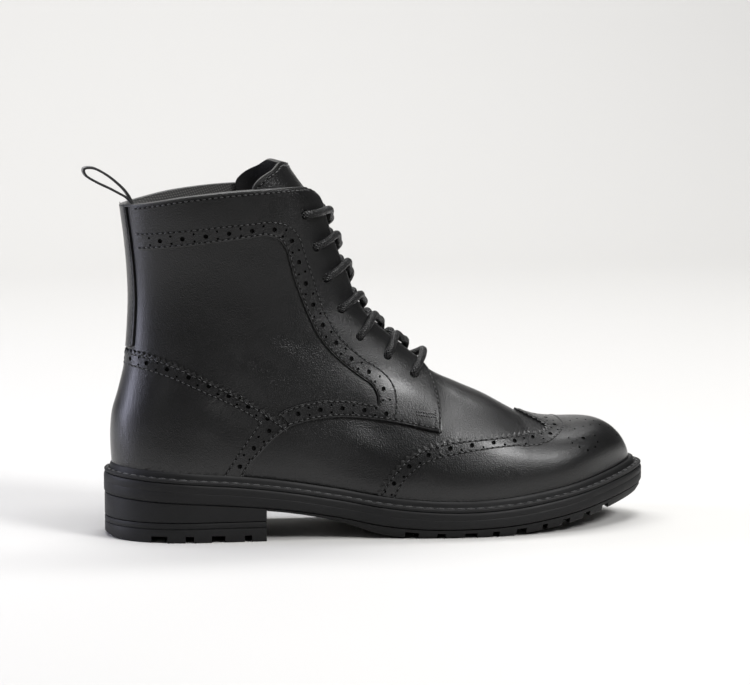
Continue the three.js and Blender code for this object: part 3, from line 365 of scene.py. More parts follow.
def fromPlan(points, step=1.0):
    # Line seen from above, as (x, distance from the middle), to plane numbers and s
    run = smoothRun(points, step) if step else np.asarray(points, float)
    planes = np.linspace(0, 10, 2001)
    planeX = planeEnds(planes)[0]
    a = np.interp(run[:, 0], planeX[::-1], planes[::-1])
    s0, s1 = np.zeros(len(a)), np.full(len(a), 0.9)
    for _ in range(34):
        s = (s0 + s1) / 2
        out = np.abs(formPoint(a, s)[:, 1] - formPoint(a, 0 * s)[:, 1])
        near = out < run[:, 1]
        s0, s1 = np.where(near, s, s0), np.where(near, s1, s)
    return np.stack([a, s], axis=1)


def levelRun(aFrom, aTo, height, step=1.0):
    # Line along the boot at one height over the welt
    a = np.linspace(aFrom, aTo, max(2, int(abs(aTo - aFrom) * 8 / step)))
    hx, hh, lx, lh = planeEnds(a)
    return np.stack([a, sOfDown(a, np.clip((height - hh) / (lh - hh), 0, 1))], axis=1)


def toSide(run, side):
    # Outer side has t below 0
    return np.stack([run[:, 0], run[:, 1] * side], axis=1)


# Flat pattern of the form: u runs along planes by length, w round them
patternA = np.linspace(0, lastPlane, 1200)
patternLine = formPoint(patternA, np.full(1200, -0.62))
patternU = lengthAlong(patternLine)
patternWide = 82.0


def toPattern(run):
    return np.stack([np.interp(run[:, 0], patternA, patternU), run[:, 1] * patternWide], axis=1)


def fromPattern(flat):
    return np.stack([np.interp(flat[:, 0], patternU, patternA), flat[:, 1] / patternWide], axis=1)


def wrapT(t):
    return (np.asarray(t, float) + 1) % 2 - 1


def surfaceAt(run, offset=0.0):
    point, _, _, normal = frameOf(run)
    return point + normal * np.reshape(offset, (-1, 1)) if np.ndim(offset) else point + normal * offset


def frameOf(run):
    return formFrame(run[:, 0], wrapT(run[:, 1]))


def evenRun(run, step):
    # Points at even steps along the surface
    place = surfaceAt(run)
    length = lengthAlong(place)
    count = max(2, int(round(length[-1] / step)) + 1)
    at = np.linspace(0, length[-1], count)
    return pick(at, length, run)


def sideways(run, distance):
    # Run moved across itself on the surface; positive is to the left seen from outside
    point, alongA, alongT, normal = frameOf(run)
    ahead = np.gradient(point, axis=0)
    ahead /= np.maximum(np.linalg.norm(ahead, axis=1, keepdims=True), 1e-9)
    left = np.cross(normal, ahead)
    return run + onPattern(alongA, alongT, left * np.reshape(distance, (-1, 1)) if np.ndim(distance)
                           else left * distance)


def onPattern(alongA, alongT, move):
    # Move in space, lying in the surface, as a change of plane number and t
    aa = (alongA * alongA).sum(-1)
    tt = (alongT * alongT).sum(-1)
    at = (alongA * alongT).sum(-1)
    ma, mt = (alongA * move).sum(-1), (alongT * move).sum(-1)
    det = np.maximum(aa * tt - at * at, 1e-9)
    return np.stack([(ma * tt - mt * at) / det, (mt * aa - ma * at) / det], axis=-1)


def pinked(run, pitch, depth, side):
    # Zigzag edge of a pinking cut
    run = evenRun(run, pitch / 2)
    tooth = np.where(np.arange(len(run)) % 2, depth, 0.0)
    tooth[0] = tooth[-1] = 0.0
    return sideways(run, tooth * side)


def punchLoop(place, radius, count=8):
    point, alongA, alongT, normal = formFrame(place[None, 0], wrapT(place[None, 1]))
    first = alongA / np.linalg.norm(alongA)
    second = np.cross(normal, first)
    angle = np.arange(count) * tau / count
    move = first * np.cos(angle)[:, None] * radius + second * np.sin(angle)[:, None] * radius
    change = onPattern(np.repeat(alongA, count, 0), np.repeat(alongT, count, 0), move)
    return place + change


def insideLoop(points, loop):
    x, y = points[:, 0], points[:, 1]
    hit = np.zeros(len(points), bool)
    x0, y0 = loop[:, 0], loop[:, 1]
    x1, y1 = np.roll(x0, -1), np.roll(y0, -1)
    for i in range(len(loop)):
        if y0[i] == y1[i]:
            continue
        cross = (y0[i] > y) != (y1[i] > y)
        hit ^= cross & (x < (x1[i] - x0[i]) * (y - y0[i]) / (y1[i] - y0[i]) + x0[i])
    return hit


def nearest(points, targets):
    tree = KDTree(len(targets))
    for i, target in enumerate(targets):
        tree.insert(target, i)
    tree.balance()
    return np.array([tree.find(point)[2] for point in points])


def flat3(points):
    return np.concatenate([points, np.zeros((len(points), 1))], axis=1)


# Creases, listed one by one: from and to (x, height over the welt), depth, width, sides
creases = [
    ((10.0, 84.0), (42.0, 70.0), 0.4, 6.5, (-1, 1)), ((20.0, 72.0), (58.0, 60.0), 0.42, 6.0, (-1, 1)),
    ((32.0, 90.0), (66.0, 74.0), 0.3, 7.0, (-1,)), ((28.0, 98.0), (60.0, 88.0), 0.25, 8.0, (1,)),
    ((-4.0, 46.0), (16.0, 34.0), 0.25, 5.0, (-1,)), ((6.0, 40.0), (26.0, 27.0), 0.22, 5.0, (-1, 1)),
    ((84.0, 50.0), (112.0, 30.0), 0.3, 7.0, (-1, 1)), ((135.0, 64.0), (153.0, 38.0), 0.5, 7.0, (-1, 1)),
    ((146.0, 62.0), (168.0, 36.0), 0.35, 7.0, (-1, 1)), ((66.0, 24.0), (106.0, 17.0), 0.25, 8.0, (-1,)),
]


def creaseAt(point):
    # Soft troughs, each with a low ridge on both sides, the same for every layer
    height = point[:, 2] - weltTop(point[:, 0])
    total = np.zeros(len(point))
    for start, end, depth, width, sides in creases:
        a, b = np.array(start), np.array(end)
        along = b - a
        size = np.linalg.norm(along)
        rel = np.stack([point[:, 0] - a[0], height - a[1]], axis=1)
        t = rel @ along / size**2
        off = (rel @ np.array([-along[1], along[0]]) / size + 1.4 * np.sin(3.0 * t)) / width
        fade = np.exp(-(np.clip(np.abs(t - 0.5) - 0.22, 0, None) / 0.26) ** 2)
        shape = -np.exp(-off**2) + 0.45 * np.exp(-(np.abs(off) - 1.7) ** 2)
        on = np.clip(0.5 - np.sign(sides[0]) * -1 * point[:, 1] / 8, 0, 1) if len(sides) == 1 else 1.0
        total += depth * shape * fade * on
    return total


def sheetMesh(name, outline, holes, spacing, face, back, rows=(0.35, 1.1)):
    # Leather sheet cut to an outline on the form: face and back give offsets for a run and edge distance
    loops = [outline] + list(holes)
    coords, edges = [], []
    for loop in loops:
        flat = toPattern(loop)
        start = len(coords)
        coords.extend(flat.tolist())
        edges.extend((start + i, start + (i + 1) % len(flat)) for i in range(len(flat)))
    bound = np.array(coords)
    low, high = bound.min(0), bound.max(0)
    us = np.arange(low[0] + spacing / 2, high[0], spacing * 0.87)
    free = []
    for i, u in enumerate(us):
        ws = np.arange(low[1] + spacing * (0.5 if i % 2 else 1.0), high[1], spacing)
        free.append(np.stack([np.full(len(ws), u), ws], axis=1))
    free = np.concatenate(free)
    flatLoops = [toPattern(loop) for loop in loops]
    keep = insideLoop(free, flatLoops[0])
    for loop in flatLoops[1:]:
        reach = np.abs(loop - loop.mean(0)).max() + spacing
        near = keep & (np.abs(free - loop.mean(0)).max(axis=1) < reach)
        keep[near] = ~insideLoop(free[near], loop)
    free = free[keep]
    dense = np.concatenate([np.concatenate([loop, np.roll(loop, -1, 0) * 0.5 + loop * 0.5])
                            for loop in flatLoops])
    free = free[nearest(flat3(free), flat3(dense)) > spacing * 0.62]
    inner = [free]
    for row in rows:
        for side in (-1, 1):
            moved = toPattern(sideways(np.concatenate([outline, outline[:1]]), row * side)[:-1])
            moved = moved[insideLoop(moved, flatLoops[0])]
            if len(moved):
                inner.append(moved[nearest(flat3(moved), flat3(dense)) > row * 0.75])
    free = np.concatenate(inner)
    coords = np.concatenate([bound, free])
    result = delaunay_2d_cdt([Vector(c) for c in coords.tolist()], edges, [], 2, 1e-5)
    flat = np.array([tuple(v) for v in result[0]])
    faces = np.array([list(f) for f in result[2] if len(f) == 3])
    middle = flat[faces].mean(axis=1)
    keep = insideLoop(middle, flatLoops[0])
    for loop in flatLoops[1:]:
        near = keep & (np.abs(middle - loop.mean(0)).max(axis=1) < np.abs(loop - loop.mean(0)).max() + 0.5)
        keep[near] = ~insideLoop(middle[near], loop)
    faces = faces[keep].tolist()
    run = fromPattern(flat)
    point, _, _, normal = frameOf(run)
    rim = surfaceAt(evenRun(np.concatenate([outline, outline[:1]]), 0.5))
    edgeGap = nearest(point, rim)
    dip = creaseAt(point)
    outer = point + normal * (face(run, edgeGap, point) + dip)[:, None]
    under = point + normal * (back(run, edgeGap, point) + dip)[:, None]
    count = len(point)
    used = {}
    for f in faces:
        for i in range(len(f)):
            pair = (f[i], f[(i + 1) % len(f)])
            used[pair] = used.get(pair, 0) + 1
    walls = [(b, a, a + count, b + count) for a, b in used if (b, a) not in used]
    allFaces = faces + [[i + count for i in reversed(f)] for f in faces] + [list(w) for w in walls]
    mesh = newMesh(name, np.concatenate([outer, under]), allFaces)
    edgeValues = np.concatenate([edgeGap, np.minimum(edgeGap, 0.2)])
    mesh.attributes.new("edgeGap", "FLOAT", "POINT").data.foreach_set("value", edgeValues.astype(np.float32))
    return mesh


def newMesh(name, points, faces):
    # Mesh from points in millimetres
    mesh = bpy.data.meshes.new(name)
    mesh.from_pydata((np.array(points) * mm).tolist(), [], faces)
    return mesh


def addPiece(name, mesh):
    piece = bpy.data.objects.new(name, mesh)
    scene.collection.objects.link(piece)
    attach(piece, "root")
    return piece


def finishMesh(name, mesh, material, weld=0.0, angle=38):
    bm = bmesh.new()
    bm.from_mesh(mesh)
    if weld:
        bmesh.ops.remove_doubles(bm, verts=bm.verts, dist=weld * mm)
    bmesh.ops.recalc_face_normals(bm, faces=bm.faces)
    bm.to_mesh(mesh)
    bm.free()
    for polygon in mesh.polygons:
        polygon.use_smooth = True
    mesh.set_sharp_from_angle(angle=radians(angle))
    mesh.materials.clear()
    mesh.materials.append(material)
    return addPiece(name, mesh)


# Materials
def linear(code):
    parts = [int(code[i:i + 2], 16) / 255 for i in (1, 3, 5)]
    return tuple(c / 12.92 if c <= 0.04045 else ((c + 0.055) / 1.055) ** 2.4 for c in parts) + (1.0,)


def addNode(tree, kind, links=(), **settings):
    # One node with its settings, its socket values and its links
    node = tree.nodes.new(kind)
    for key, value in settings.items():
        if key.startswith("in_"):
            slot = key[3:]
            node.inputs[int(slot) if slot.isdigit() else slot.replace("_", " ")].default_value = value
        else:
            setattr(node, key, value)
    for source, target in links:
        tree.links.new(source, node.inputs[target])
    return node


def newMaterial(name):
    material = bpy.data.materials.new(name)
    material.use_nodes = True
    tree = material.node_tree
    shader = tree.nodes["Principled BSDF"]
    return material, tree, shader


leather = {
    "colour": "#0a0a0b", "edgeTone": "#171717", "roughness": 0.32, "grainSize": 0.75, "coat": 0.22,
}


def boxCalf(name, roughness, grain, coat, colour, specular=0.45):
    # Box calf, drum dyed and lightly polished: small pebbled grain under a satin wax film
    material, tree, shader = newMaterial(name)
    place = addNode(tree, "ShaderNodeTexCoord").outputs["Object"]
    pebble = addNode(tree, "ShaderNodeTexVoronoi", [(place, "Vector")], feature="F1",
                     in_Scale=1000 / leather["grainSize"])
    fine = addNode(tree, "ShaderNodeTexNoise", [(place, "Vector")], in_Scale=1000 / 0.45, in_Detail=3.0)
    broad = addNode(tree, "ShaderNodeTexNoise", [(place, "Vector")], in_Scale=1000 / 16.0, in_Detail=4.0,
                    in_Roughness=0.6)
    pores = addNode(tree, "ShaderNodeMath", [(pebble.outputs["Distance"], 0), (fine.outputs["Fac"], 1)],
                    operation="ADD")
    raise_ = addNode(tree, "ShaderNodeBump", [(pores.outputs[0], "Height")], in_Strength=grain,
                     in_Distance=0.00016)
    edge = addNode(tree, "ShaderNodeAttribute", attribute_name="edgeGap")
    # Lighter and rougher within about a millimetre of a cut edge, and fully so on the edge walls and the back
    edgeTone = addNode(tree, "ShaderNodeMapRange", [(edge.outputs["Fac"], "Value")], in_From_Min=0.25,
                   in_From_Max=1.3, in_To_Min=1.0, in_To_Max=0.0)
    patch = addNode(tree, "ShaderNodeMapRange", [(broad.outputs["Fac"], "Value")], in_From_Min=0.35,
                    in_From_Max=0.7, in_To_Min=roughness - 0.03, in_To_Max=roughness + 0.05)
    rough = addNode(tree, "ShaderNodeMath", [(edgeTone.outputs[0], 0), (patch.outputs[0], 2)],
                    operation="MULTIPLY_ADD", in_1=0.1)
    tone = addNode(tree, "ShaderNodeMix", [(edgeTone.outputs[0], "Factor")], data_type="RGBA")
    tone.inputs[6].default_value = linear(colour)
    tone.inputs[7].default_value = linear(leather["edgeTone"])
    tree.links.new(tone.outputs[2], shader.inputs["Base Color"])
    tree.links.new(rough.outputs[0], shader.inputs["Roughness"])
    tree.links.new(raise_.outputs[0], shader.inputs["Normal"])
    shader.inputs["IOR"].default_value = 1.5
    shader.inputs["Specular IOR Level"].default_value = specular
    shader.inputs["Coat Weight"].default_value = coat
    shader.inputs["Coat Roughness"].default_value = 0.24
    return material


def mouldedRubber(name, colour, roughness):
    # Moulded nitrile rubber: matte with a faint bloom and mould texture
    material, tree, shader = newMaterial(name)
    place = addNode(tree, "ShaderNodeTexCoord").outputs["Object"]
    grit = addNode(tree, "ShaderNodeTexNoise", [(place, "Vector")], in_Scale=1000 / 0.5, in_Detail=3.0)
    bloom = addNode(tree, "ShaderNodeTexNoise", [(place, "Vector")], in_Scale=1000 / 14.0, in_Detail=5.0)
    tone = addNode(tree, "ShaderNodeMix", [(bloom.outputs["Fac"], "Factor")], data_type="RGBA")
    tone.inputs[6].default_value = linear(colour)
    tone.inputs[7].default_value = linear("#131314")
    raise_ = addNode(tree, "ShaderNodeBump", [(grit.outputs["Fac"], "Height")], in_Strength=0.35,
                     in_Distance=0.00008)
    rough = addNode(tree, "ShaderNodeMapRange", [(bloom.outputs["Fac"], "Value")], in_From_Min=0.3,
                    in_From_Max=0.7, in_To_Min=roughness - 0.06, in_To_Max=roughness + 0.08)
    tree.links.new(tone.outputs[2], shader.inputs["Base Color"])
    tree.links.new(rough.outputs[0], shader.inputs["Roughness"])
    tree.links.new(raise_.outputs[0], shader.inputs["Normal"])
    shader.inputs["Specular IOR Level"].default_value = 0.32
    return material


def wovenCloth(name, colour, light, pitch, roughness=0.9):
    # Plain woven cotton: crossed threads with a soft nap
    material, tree, shader = newMaterial(name)
    place = addNode(tree, "ShaderNodeTexCoord").outputs["Object"]
    turn = addNode(tree, "ShaderNodeMapping", [(place, "Vector")])
    turn.inputs["Rotation"].default_value = (0.6, 0.3, 0.5)
    warp = addNode(tree, "ShaderNodeTexWave", [(turn.outputs[0], "Vector")], in_Scale=1000 / pitch / 6.28,
                   in_Distortion=1.5, bands_direction="X")
    weft = addNode(tree, "ShaderNodeTexWave", [(turn.outputs[0], "Vector")], in_Scale=1000 / pitch / 6.28,
                   in_Distortion=1.5, bands_direction="Z")
    weave = addNode(tree, "ShaderNodeMath", [(warp.outputs["Fac"], 0), (weft.outputs["Fac"], 1)],
                    operation="MULTIPLY")
    tone = addNode(tree, "ShaderNodeMix", [(weave.outputs[0], "Factor")], data_type="RGBA")
    tone.inputs[6].default_value = linear(colour)
    tone.inputs[7].default_value = linear(light)
    raise_ = addNode(tree, "ShaderNodeBump", [(weave.outputs[0], "Height")], in_Strength=0.6,
                     in_Distance=0.00015)
    tree.links.new(tone.outputs[2], shader.inputs["Base Color"])
    tree.links.new(raise_.outputs[0], shader.inputs["Normal"])
    shader.inputs["Roughness"].default_value = roughness
    shader.inputs["Sheen Weight"].default_value = 0.3
    return material


def braidedCord(name, colour, light):
    # Round polyester braid: two sets of strands crossing round the cord, with a low sheen; the crests carry a painted
    # highlight and the grooves painted shade
    material, tree, shader = newMaterial(name)
    parts = addNode(tree, "ShaderNodeSeparateXYZ", [(addNode(tree, "ShaderNodeUVMap").outputs[0], 0)])
    waves = []
    for way in (1, -1):
        round_ = addNode(tree, "ShaderNodeMath", [(parts.outputs[1], 0)], operation="MULTIPLY",
                         in_1=way * 7 * tau)
        turn = addNode(tree, "ShaderNodeMath", [(parts.outputs[0], 0), (round_.outputs[0], 2)],
                       operation="MULTIPLY_ADD", in_1=tau / 1.25)
        waves.append(addNode(tree, "ShaderNodeMath", [(turn.outputs[0], 0)], operation="SINE"))
    weave = addNode(tree, "ShaderNodeMath", [(waves[0].outputs[0], 0), (waves[1].outputs[0], 1)],
                    operation="MAXIMUM")
    share = addNode(tree, "ShaderNodeMapRange", [(weave.outputs[0], "Value")], in_From_Min=-0.4, in_From_Max=1.0)
    # Lighter colour where the strands rise, darker between them: painted highlight and painted shade following the
    # bump
    tone = addNode(tree, "ShaderNodeMix", [(share.outputs[0], "Factor")], data_type="RGBA")
    tone.inputs[6].default_value = linear(colour)
    tone.inputs[7].default_value = linear(light)
    raise_ = addNode(tree, "ShaderNodeBump", [(share.outputs[0], "Height")], in_Strength=1.0, in_Distance=0.0006)
    tree.links.new(tone.outputs[2], shader.inputs["Base Color"])
    tree.links.new(raise_.outputs[0], shader.inputs["Normal"])
    shader.inputs["Roughness"].default_value = 0.38
    return material


calf = boxCalf("boxCalfSatin", leather["roughness"], 0.7, leather["coat"], leather["colour"])
calfOverlay = boxCalf("boxCalfOverlay", leather["roughness"] - 0.01, 0.7, leather["coat"], leather["colour"])
rubber = mouldedRubber("mouldedNitrileRubber", "#0a0a0b", 0.58)
cotton = wovenCloth("cottonDrillLining", "#2b2b2b", "#5c5a58", 0.6)
thread = wovenCloth("waxedPolyesterThread", "#161617", "#343435", 0.3, 0.4)
loopWeb = wovenCloth("wovenPolyesterTape", "#0d0d0e", "#222223", 0.5, 0.6)
# The lace's second colour is the painted highlight on its strand crests
lace = braidedCord("braidedPolyesterLace", "#050506", "#171718")
# Near-black, almost unlit material built with the cloth shader: painted shade for the punched holes' ends and for the
# grooves under the stitches
shadeMaterial = wovenCloth("paintedShadeBlack", "#030303", "#070707", 0.4, 1.0)
shadeMaterial.node_tree.nodes["Principled BSDF"].inputs["Specular IOR Level"].default_value = 0.05
print("materials made")


# Upper: vamp, quarters and lining
upper = {"wall": 2.8, "step": 0.8, "bottom": 3.2}


def lapTo(outer):
    def offset(run, edgeGap, point):
        return outer - 0.3 * np.clip(1 - edgeGap / 0.5, 0, 1) ** 2
    return offset


def evenAt(value):
    return lambda run, edgeGap, point: np.full(len(point), value)


bottomBack = float(np.interp(upper["bottom"], planeEnds(np.linspace(20.5, 24, 200))[3],
                             np.linspace(20.5, 24, 200)))
collarSide = fromSide(collarLine)
facingSide = fromSide(facingLine)


def joinRuns(*runs):
    parts = [runs[0]]
    for run in runs[1:]:
        parts.append(run[1:] if np.linalg.norm(run[0] - parts[-1][-1]) < 0.02 else run)
    return np.concatenate(parts)


def cutBefore(run, other):
    # Part of a run up to its nearest point to a line's start
    place = toPattern(run)
    target = toPattern(other[:1])[0]
    return run[: int(np.argmin(np.linalg.norm(place - target, axis=1))) + 1]


def backRun(aFrom, aTo, count=60):
    return np.stack([np.linspace(aFrom, aTo, count), np.ones(count)], axis=1)


collarSide = collarSide[collarSide[:, 1] < 0.9999]
backTop = float(collarSide[0, 0])
collarSide = np.concatenate([[[backTop, 1.0]], collarSide[2:]])
collarFront = cutBefore(collarSide, facingSide)
collarFront = np.concatenate([collarFront[:-2], facingSide[:1]])


def quarterOutline():
    return joinRuns(collarFront, facingSide, fromSide(quarterLine), fromSide(quarterHem),
                    levelRun(fromSide(quarterHem)[-1, 0], bottomBack, upper["bottom"]),
                    backRun(bottomBack, backTop))


def closedEven(outline, step):
    # Outline resampled at even steps with its corners kept
    flat = toPattern(outline)
    turn = []
    for i in range(len(flat)):
        p, q, r = flat[i - 1], flat[i], flat[(i + 1) % len(flat)]
        a, b = q - p, r - q
        size = np.linalg.norm(a) * np.linalg.norm(b)
        turn.append(abs(a[0] * b[1] - a[1] * b[0]) / size if size > 1e-9 else 0)
        if size > 1e-9 and (a @ b) / size < 0.3:
            turn[-1] = 1.0
    corners = [i for i, value in enumerate(turn) if value > 0.55]
    if not corners:
        corners = [0]
    parts = []
    for i, corner in enumerate(corners):
        end = corners[(i + 1) % len(corners)]
        ids = range(corner, end + 1) if end > corner else list(range(corner, len(flat))) + list(range(end + 1))
        parts.append(evenRun(outline[list(ids)], step)[:-1])
    return np.concatenate(parts)


def wholeOutline():
    half = joinRuns(backRun(bottomBack, backTop), collarFront, fromSide(facingLine[:13]))
    lowSide = levelRun(bottomBack, 0.0, upper["bottom"])
    left = toSide(half, -1)
    right = toSide(half, 1)[::-1]
    return joinRuns(left, right, toSide(lowSide, 1), toSide(lowSide, -1)[::-1])


holePlaces = fromSide(laceHoles, None)


def outlinePiece(name, outline, holes, outer, inner, material, spacing, step=1.1, rows=(0.35, 1.1), weld=0.0):
    mesh = sheetMesh(name, closedEven(outline, step), holes, spacing, outer, inner, rows)
    return finishMesh(name, mesh, material, weld)


def lacePunches(side, radius=2.6, count=12):
    return [punchLoop(place * np.array([1, side]), radius, count) for place in holePlaces]


whole = wholeOutline()
allPunches = lacePunches(-1) + lacePunches(1)
lining = outlinePiece("lining", whole, allPunches, evenAt(-1.75), evenAt(-upper["wall"]), cotton, 2.6, 1.6,
                      (0.4,), weld=0.05)
print("lining", len(lining.data.polygons))

# Vamp: from the toe back under the quarters
vampBack = fromSide([(104.0, 64.0), (84.0, 54.0), (60.0, 47.0), (40.0, 34.0), (24.0, 14.0), (16.0, 3.2)])
vampTop = fromSide([(133.0, 71.3), (120.0, 71.5), (104.0, 64.0)])
throatTip = fromSide([(134.5, 70.6)], None) * np.array([1.0, 0.0])


def vampOutline():
    half = joinRuns(throatTip, vampTop, vampBack)
    low = levelRun(vampBack[-1, 0], 0.0, upper["bottom"])
    return joinRuns(toSide(half, -1), toSide(low, -1), toSide(low, 1)[::-1], toSide(half, 1)[::-1])[:-1]


vamp = outlinePiece("vamp", vampOutline(), [], lapTo(-upper["step"]), evenAt(-1.7), calf, 2.0)
quarter = quarterOutline()
for side, label in ((-1, "lateral"), (1, "medial")):
    piece = outlinePiece("quarter_" + label, toSide(quarter, side), lacePunches(side), lapTo(0.0), evenAt(-0.75),
                         calf, 2.0)
print("vamp and quarters")

# Seams: runs on the outer side; each is mirrored for the inner side
seams = {"pitch": 3.1, "length": 2.3, "width": 0.72, "height": 0.55}
tackThread = {"pitch": 1.3, "length": 1.25, "width": 1.15, "height": 0.9}
overlay = {"base": 0.05, "top": 1.25, "capTop": 0.45, "tooth": 3.5, "toothDepth": 1.9}
holes = {"pitch": 12.35, "large": 1.3, "small": 0.68, "apart": 1.95}
wing = joinRuns(fromPlan(wingPlan), fromSide(wingSide))
wingCut = pinked(wing, overlay["tooth"], overlay["toothDepth"], 1)
wingIn = joinRuns(fromPlan(wingInPlan), fromSide(wingInSide))
counterEdge = fromSide(counterTop)
counterEdge = counterEdge[counterEdge[:, 1] < 0.999]
counterEdge = np.concatenate([[[counterEdge[0, 0], 1.0]], counterEdge[1:]])
hem = fromSide(quarterHem)
bandInner, bandOuter, bandLower = fromSide(bandIn), fromSide(bandOut), fromSide(bandFoot)
quarterEdge = fromSide(quarterLine)


def between(one, other, share=0.5):
    # Line between two lines, by share of their lengths
    count = 120
    ends = []
    for run in (one, other):
        flat = toPattern(run)
        length = lengthAlong(flat)
        at = np.linspace(0, length[-1], count)
        ends.append(pick(at, length, run))
    return ends[0] * (1 - share) + ends[1] * share


def brogueHoles(run, start):
    # Large holes at a pitch, with a pair of small ones midway
    place = surfaceAt(run)
    length = lengthAlong(place)

    def at(distance):
        return np.array([np.interp(distance, length, run[:, i]) for i in (0, 1)])
    loops = []
    distance = start
    while distance < length[-1] - 1.5:
        if distance > 1.0:
            loops.append(punchLoop(at(distance), holes["large"], 10))
        half = distance + holes["pitch"] / 2
        if half < length[-1] - 1.2:
            near = np.stack([at(half - 0.4), at(half), at(half + 0.4)])
            for side in (-1, 1):
                loops.append(punchLoop(sideways(near, side * holes["apart"])[1], holes["small"], 7))
        distance += holes["pitch"]
    return loops


def mirrored(loops):
    return [loop * np.array([1, -1]) for loop in loops]


def insideOf(outline, loops):
    # Holes that lie well inside a piece
    flat = toPattern(outline)
    return [loop for loop in loops if insideLoop(toPattern(loop.mean(0)[None]), flat)[0]]


def pastBack(run):
    # Run of the outer side's other half, carried on past the back line
    return np.stack([run[:, 0], run[:, 1] - 2], axis=1)


def toeCapOutline():
    low = levelRun(wingCut[-1, 0], 0.0, upper["bottom"])
    left = joinRuns(toSide(wingCut, -1), toSide(low, -1))
    right = joinRuns(toSide(wingCut, 1), toSide(low, 1))[::-1]
    return joinRuns(left, right)[:-1]


def counterOutline():
    half = joinRuns(pinked(counterEdge, overlay["tooth"], overlay["toothDepth"], 1), hem,
                    levelRun(hem[-1, 0], bottomBack, upper["bottom"]))
    return joinRuns(toSide(half, -1), pastBack(half)[::-1])[:-1]


def stayOutline():
    foot = np.concatenate([bandLower[:-1], fromSide([(45.4, 39.8)], None)])
    inner = bandInner[::-1]
    return joinRuns(collarFront[collarFront[:, 1] < 0.86], facingSide, quarterEdge,
                    fromSide([(51.6, 33.6), (45.4, 39.8)]), foot[::-1], inner[inner[:, 1] < 0.86])


# Punched rows: wing band, counter band, facing band and the toe medallion
def medallion():
    # x and distance to the outer side of y = 0; the toe's own middle swings to the inner side
    small = [(207.2, 27), (208.6, 30), (212.3, 31), (217.3, 30), (222.8, 26), (224.9, 23), (223.9, 20), (223.6, 11),
             (218.6, 14), (212.8, 18), (213.2, 6), (218.2, 2), (222.9, 3), (227.5, 3), (230.0, 7), (236.0, 5),
             (240.3, 6)]
    spots = [(x, y + 6 + 0.117 * (x - 215)) for x, y in [(215.8, 25)] + small]
    return [punchLoop(spot, 0.62 if i else 1.3, 7 if i else 10) for i, spot in enumerate(fromPlan(spots, None))]


capHoles = medallion() + brogueHoles(between(wing, wingIn), 7.5)
middleHole = [punchLoop(fromPlan([(195.4, 0.01)], None)[0], holes["large"], 10)]
toeCap = outlinePiece("toeCapCalf", toeCapOutline(), mirrored(capHoles) + capHoles + middleHole,
                      lapTo(overlay["capTop"]), evenAt(-0.75), calfOverlay, 1.9, 0.9)
counterFoot = between(hem, fromSide(counterInFoot))
counterSpots = [(-30.8, 61.2), (-23.5, 60.4), (-13.7, 58.3), (-2.9, 55.0), (7.6, 51.0), (18.0, 46.5), (28.5, 41.6),
                (38.9, 36.2)]
counterRow = [punchLoop(spot, holes["large"], 10) for spot in fromSide(counterSpots, None)]
for one, other in zip(np.array(counterSpots[:-1]), np.array(counterSpots[1:])):
    ahead = (other - one) / np.linalg.norm(other - one)
    pair = [(one + other) / 2 + side * holes["apart"] * np.array([-ahead[1], ahead[0]]) for side in (-1, 1)]
    counterRow += [punchLoop(spot, holes["small"], 7) for spot in fromSide(pair, None)]
counterRow += brogueHoles(counterFoot, 6.0)
wrapped = [pastBack(loop) for loop in counterRow]
counterCut = counterOutline()
counter = outlinePiece("heelCounterCalf", counterCut, insideOf(counterCut, mirrored(counterRow) + wrapped),
                       lapTo(overlay["top"]), evenAt(overlay["base"]), calfOverlay, 1.9, 0.9)
bandMiddle = between(bandInner, bandOuter)
bandFootMiddle = between(np.concatenate([fromSide([(108.5, 50.0)], None), bandLower]),
                         fromSide([(108.5, 43.7), (97.9, 44.1), (80.0, 42.7), (61.4, 37.8), (54.6, 34.9)]))
bandHoles = [loop for loop in brogueHoles(bandMiddle, 6.5) + brogueHoles(bandFootMiddle, 4.5)
             if loop[:, 1].max() < 0.84]
for side, label in ((-1, "lateral"), (1, "medial")):
    cuts = lacePunches(side) + [loop * np.array([1, side]) for loop in bandHoles]
    piece = outlinePiece("facing" + label.title(), toSide(stayOutline(), side), cuts,
                         lapTo(overlay["top"]), evenAt(overlay["base"]), calfOverlay, 1.9, 0.9)
    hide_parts("eyestay_" + label)


def holeShade(name, loops, level):
    # Near-black discs in the punched holes: painted shade where the holes' ends lie in shadow
    points, faces = [], []
    for loop in loops:
        run = loop.mean(0) + (loop - loop.mean(0)) * 1.02
        place, _, _, normal = frameOf(run)
        place = place + normal * (level + creaseAt(place))[:, None]
        start = len(points)
        points.extend(place.tolist() + [place.mean(0).tolist()])
        count = len(place)
        faces.extend((start + i, start + (i + 1) % count, start + count) for i in range(count))
    return finishMesh(name, newMesh(name, points, faces), shadeMaterial)


onOverlay = [loop for side in (-1, 1) for loop in [hole * np.array([1, side]) for hole in bandHoles]]
onOverlay += insideOf(counterCut, mirrored(counterRow) + wrapped)
holeShade("overlayHoleShade", onOverlay, 0.3)
holeShade("toeHoleShade", mirrored(capHoles) + capHoles + middleHole, -0.55)
print("overlays")

# Back strip over the seam at the heel's back
strip = {"half": 9.3}


def stripEdge(half):
    a = np.linspace(float(counterEdge[0, 0]) + 0.02, backTop, 90)
    s0, s1 = np.full(len(a), 0.5), np.ones(len(a))
    for _ in range(30):
        s = (s0 + s1) / 2
        wide = np.abs(formPoint(a, s)[:, 1]) > half
        s0, s1 = np.where(wide, s, s0), np.where(wide, s1, s)
    return np.stack([a, (s0 + s1) / 2], axis=1)


stripSide = stripEdge(strip["half"])
backStrip = outlinePiece("backStripCalf", joinRuns(toSide(stripSide, -1), pastBack(stripSide)[::-1])[:-1], [],
                         lapTo(overlay["top"]), evenAt(overlay["base"]), calfOverlay, 1.9, 0.9)
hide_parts("back_strip")

